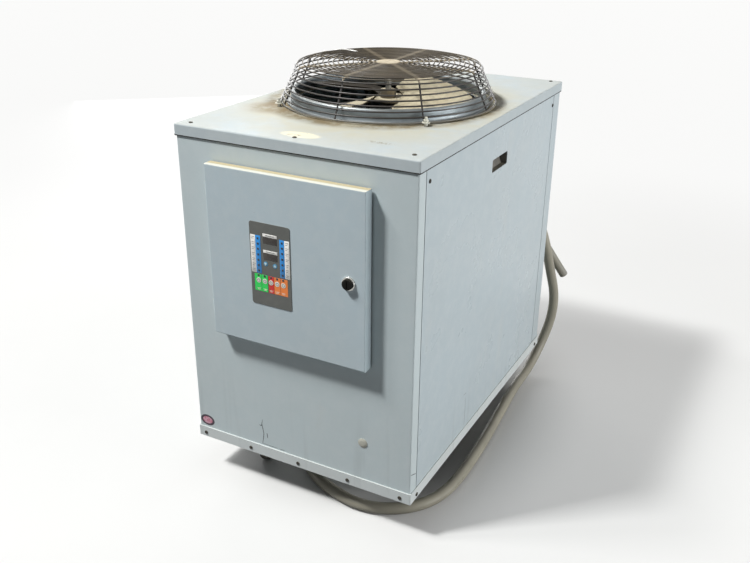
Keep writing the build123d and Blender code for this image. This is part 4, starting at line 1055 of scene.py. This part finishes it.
front_scores = [
    ([(-0.1177, 0.230), (-0.1215, 0.216), (-0.1183, 0.200), (-0.1158, 0.184), (-0.1184, 0.166),
      (-0.1218, 0.149)], 0.0024),
    ([(-0.1297, 0.210), (-0.1238, 0.2086), (-0.1215, 0.213)], 0.0026),
    ([(-0.1053, 0.190), (-0.1040, 0.182), (-0.1035, 0.173)], 0.0026),
    ([(-0.1215, 0.151), (-0.0970, 0.1500), (-0.0716, 0.1503)], 0.0014),
    ([(-0.0640, 0.150), (-0.0464, 0.1498)], 0.0014),
]
side_scores = [
    ([(-0.156, 0.246), (-0.1555, 0.200), (-0.157, 0.146)], 0.0015),
    ([(-0.172, 0.262), (-0.152, 0.260)], 0.0012),
    ([(-0.5145, 0.203), (-0.500, 0.197), (-0.4835, 0.190)], 0.0026),
]
strips = [ribbon(points, width, "y", FRONT) for points, width in front_scores]
side_strips = [ribbon(points, width, "x", SIDE) for points, width in side_scores]
score_mark = Finish("paint_score", roughness=0.6)
score_mark.colour(score_mark.mix(score_mark.noise(300.0, 4.0), srgb(54, 56, 58), srgb(112, 118, 122)))
scores = grid_mesh("paint_scores", np.stack(strips + side_strips), wrap_v=False, weld=False)
finish_piece(scores, score_mark)
print("scores:", len(strips) + len(side_strips))

# %% [markdown]
# ## Strip on the guard
# A pale strip of plastic lies across the outer rings at the back left of the guard, bent where it
# leaves them. It is a thin flat section carried along a short path.

# %% Pale strip
def strip_band(path, width, thick):
    """A rectangle carried along a path; its width lies level, across the path, and its ends are closed."""
    path = np.asarray(path, float)
    along = np.gradient(path, axis=0)
    flat = np.stack([-along[:, 1], along[:, 0], 0 * along[:, 0]], -1)
    flat /= np.linalg.norm(flat, axis=1, keepdims=True)
    corners = np.array([[1, 1], [-1, 1], [-1, -1], [1, -1]]) * [width / 2, thick / 2]
    size = np.concatenate([[0.0], np.ones(len(path)), [0.0]])[:, None, None]
    path = np.concatenate([path[:1], path, path[-1:]])
    flat = np.concatenate([flat[:1], flat, flat[-1:]])
    ring = flat[:, None] * corners[None, :, :1] + np.array([0, 0, 1.0]) * corners[None, :, 1:]
    return path[:, None] + ring * size


share = np.linspace(0, 1, 30)
strip_x = np.interp(share, [0, 0.3, 0.62, 1], [-0.2395, -0.2447, -0.2046, -0.1531])
strip_y = np.interp(share, [0, 0.3, 0.62, 1], [0.0295, 0.0915, 0.1041, 0.0884])
blur = np.ones(7) / 7
strip_x, strip_y = (np.convolve(np.pad(v, 3, mode="edge"), blur, "valid") for v in (strip_x, strip_y))
strip_radius = np.hypot(strip_x, strip_y - FAN_Y)
strip_z = top_line(np.minimum(strip_radius, GUARD_SHOULDER_R - 0.0005)) + 0.0022
strip_path = np.stack([strip_x, strip_y, strip_z], -1)
pale_strip = grid_mesh("guard_pale_strip", strip_band(strip_path, 0.0075, 0.0010), crease=40)
strip_plastic = moulded("strip_pale_plastic", srgb(226, 226, 220), 0.45, 0.1, 0.12, 0.2)
finish_piece(pale_strip, strip_plastic)
print("strip faces:", len(pale_strip.data.polygons))

# %% [markdown]
# ## Floor
# A pale floor catches the shadow. The camera sees it nearly white, but the light that it throws back up
# is that of a darker floor, so the shadows under the door's edge keep their depth. Away from the machine
# the floor's colour gives way to a glow for the camera alone: a little of it lightens the cast shadow,
# none of it reaches under the machine, and far out it makes the even white background.

# %% Floor
floor_mesh = bpy.data.meshes.new("floor")
reach = 40.0
floor_mesh.from_pydata([(-reach, -reach, 0), (reach, -reach, 0), (reach, reach, 0), (-reach, reach, 0)], [],
                       [(0, 1, 2, 3)])
floor = place_object("floor", floor_mesh)
ground = Finish("floor_pale", roughness=0.75)
rays = ground.tree.nodes.new("ShaderNodeLightPath")
seen = ground.calc("MAXIMUM", rays.outputs["Is Camera Ray"],
                   ground.calc("MAXIMUM", rays.outputs["Is Glossy Ray"], rays.outputs["Is Transmission Ray"]))
pale = ground.mix(ground.noise(1.3, 3.0), srgb(218, 218, 216), srgb(225, 225, 223))
near = ground.spot((0.0, 0.0, 0.0), (2.4, 2.4, 2.4), 0.5)
beneath = ground.spot((-0.02, 0.02, 0.0), (0.50, 0.72, 1.0), 0.35)
held = ground.times(near, ground.calc("ADD", 0.68, ground.times(beneath, 0.32)))
glow = ground.times(seen, ground.calc("SUBTRACT", 1.0, held))
ground.colour(ground.mix(seen, srgb(110, 112, 114), ground.mix(held, srgb(0, 0, 0), pale)))
ground.shader.inputs["Emission Color"].default_value = srgb(246, 246, 245)
ground.give(ground.shader.inputs["Emission Strength"], glow)
ground.shader.inputs["Specular IOR Level"].default_value = 0.1
floor.data.materials.append(ground.material)
print("floor laid")

# %% [markdown]
# ## Light
# Two lamps high on the left throw the door's double shadow down and to the right, as in the photograph.
# A large soft one low on the right lights the side, and another behind on the left lights what the
# photograph doesn't show. All are plain white, and weak enough that a colour renders about as it is
# written, a little brighter on top and a little darker on the front. The world looks white to the camera
# and to gloss, and gives little light.

# %% Lamps and world
def lamp(name, direction, distance, size, level):
    """A square area lamp in a direction from the middle; level 1 shows a facing colour as it is written."""
    data = bpy.data.lights.new(name, "AREA")
    data.shape = "SQUARE"
    data.size = size
    data.energy = level * (math.pi * distance) ** 2
    light = place_object(name, data)
    aim = Vector((0.0, -0.1, 0.65))
    light.location = aim + Vector(direction).normalized() * distance
    light.rotation_euler = (aim - light.location).to_track_quat("-Z", "Y").to_euler()
    return light


lamp("key_high_left", (-0.388, -0.412, 0.824), 10.0, 1.1, 1.0)
lamp("second_high_left", (-0.499, -0.303, 0.811), 10.0, 1.1, 0.25)
lamp("fill_right", (0.98, 0.10, 0.10), 5.0, 2.4, 0.69)
lamp("fill_back", (-0.62, 0.76, 0.16), 5.0, 3.0, 0.55)
world = bpy.data.worlds.new("studio")
world.use_nodes = True
bpy.context.scene.world = world
make, link = world.node_tree.nodes.new, world.node_tree.links.new
sky = world.node_tree.nodes["Background"]
rays, level, strength = (make("ShaderNode" + kind) for kind in ("LightPath", "Math", "MapRange"))
level.operation = "MAXIMUM"
LIT_BY_WORLD, SEEN_OF_WORLD = 0.10, 1.0
strength.inputs["To Min"].default_value = LIT_BY_WORLD
strength.inputs["To Max"].default_value = SEEN_OF_WORLD
link(rays.outputs["Is Camera Ray"], level.inputs[0])
link(rays.outputs["Is Glossy Ray"], level.inputs[1])
link(level.outputs[0], strength.inputs["Value"])
link(strength.outputs["Result"], sky.inputs["Strength"])
sky.inputs["Color"].default_value = srgb(250, 251, 252)
bpy.context.scene.view_settings.view_transform = "Standard"
print("lamps and world ready")
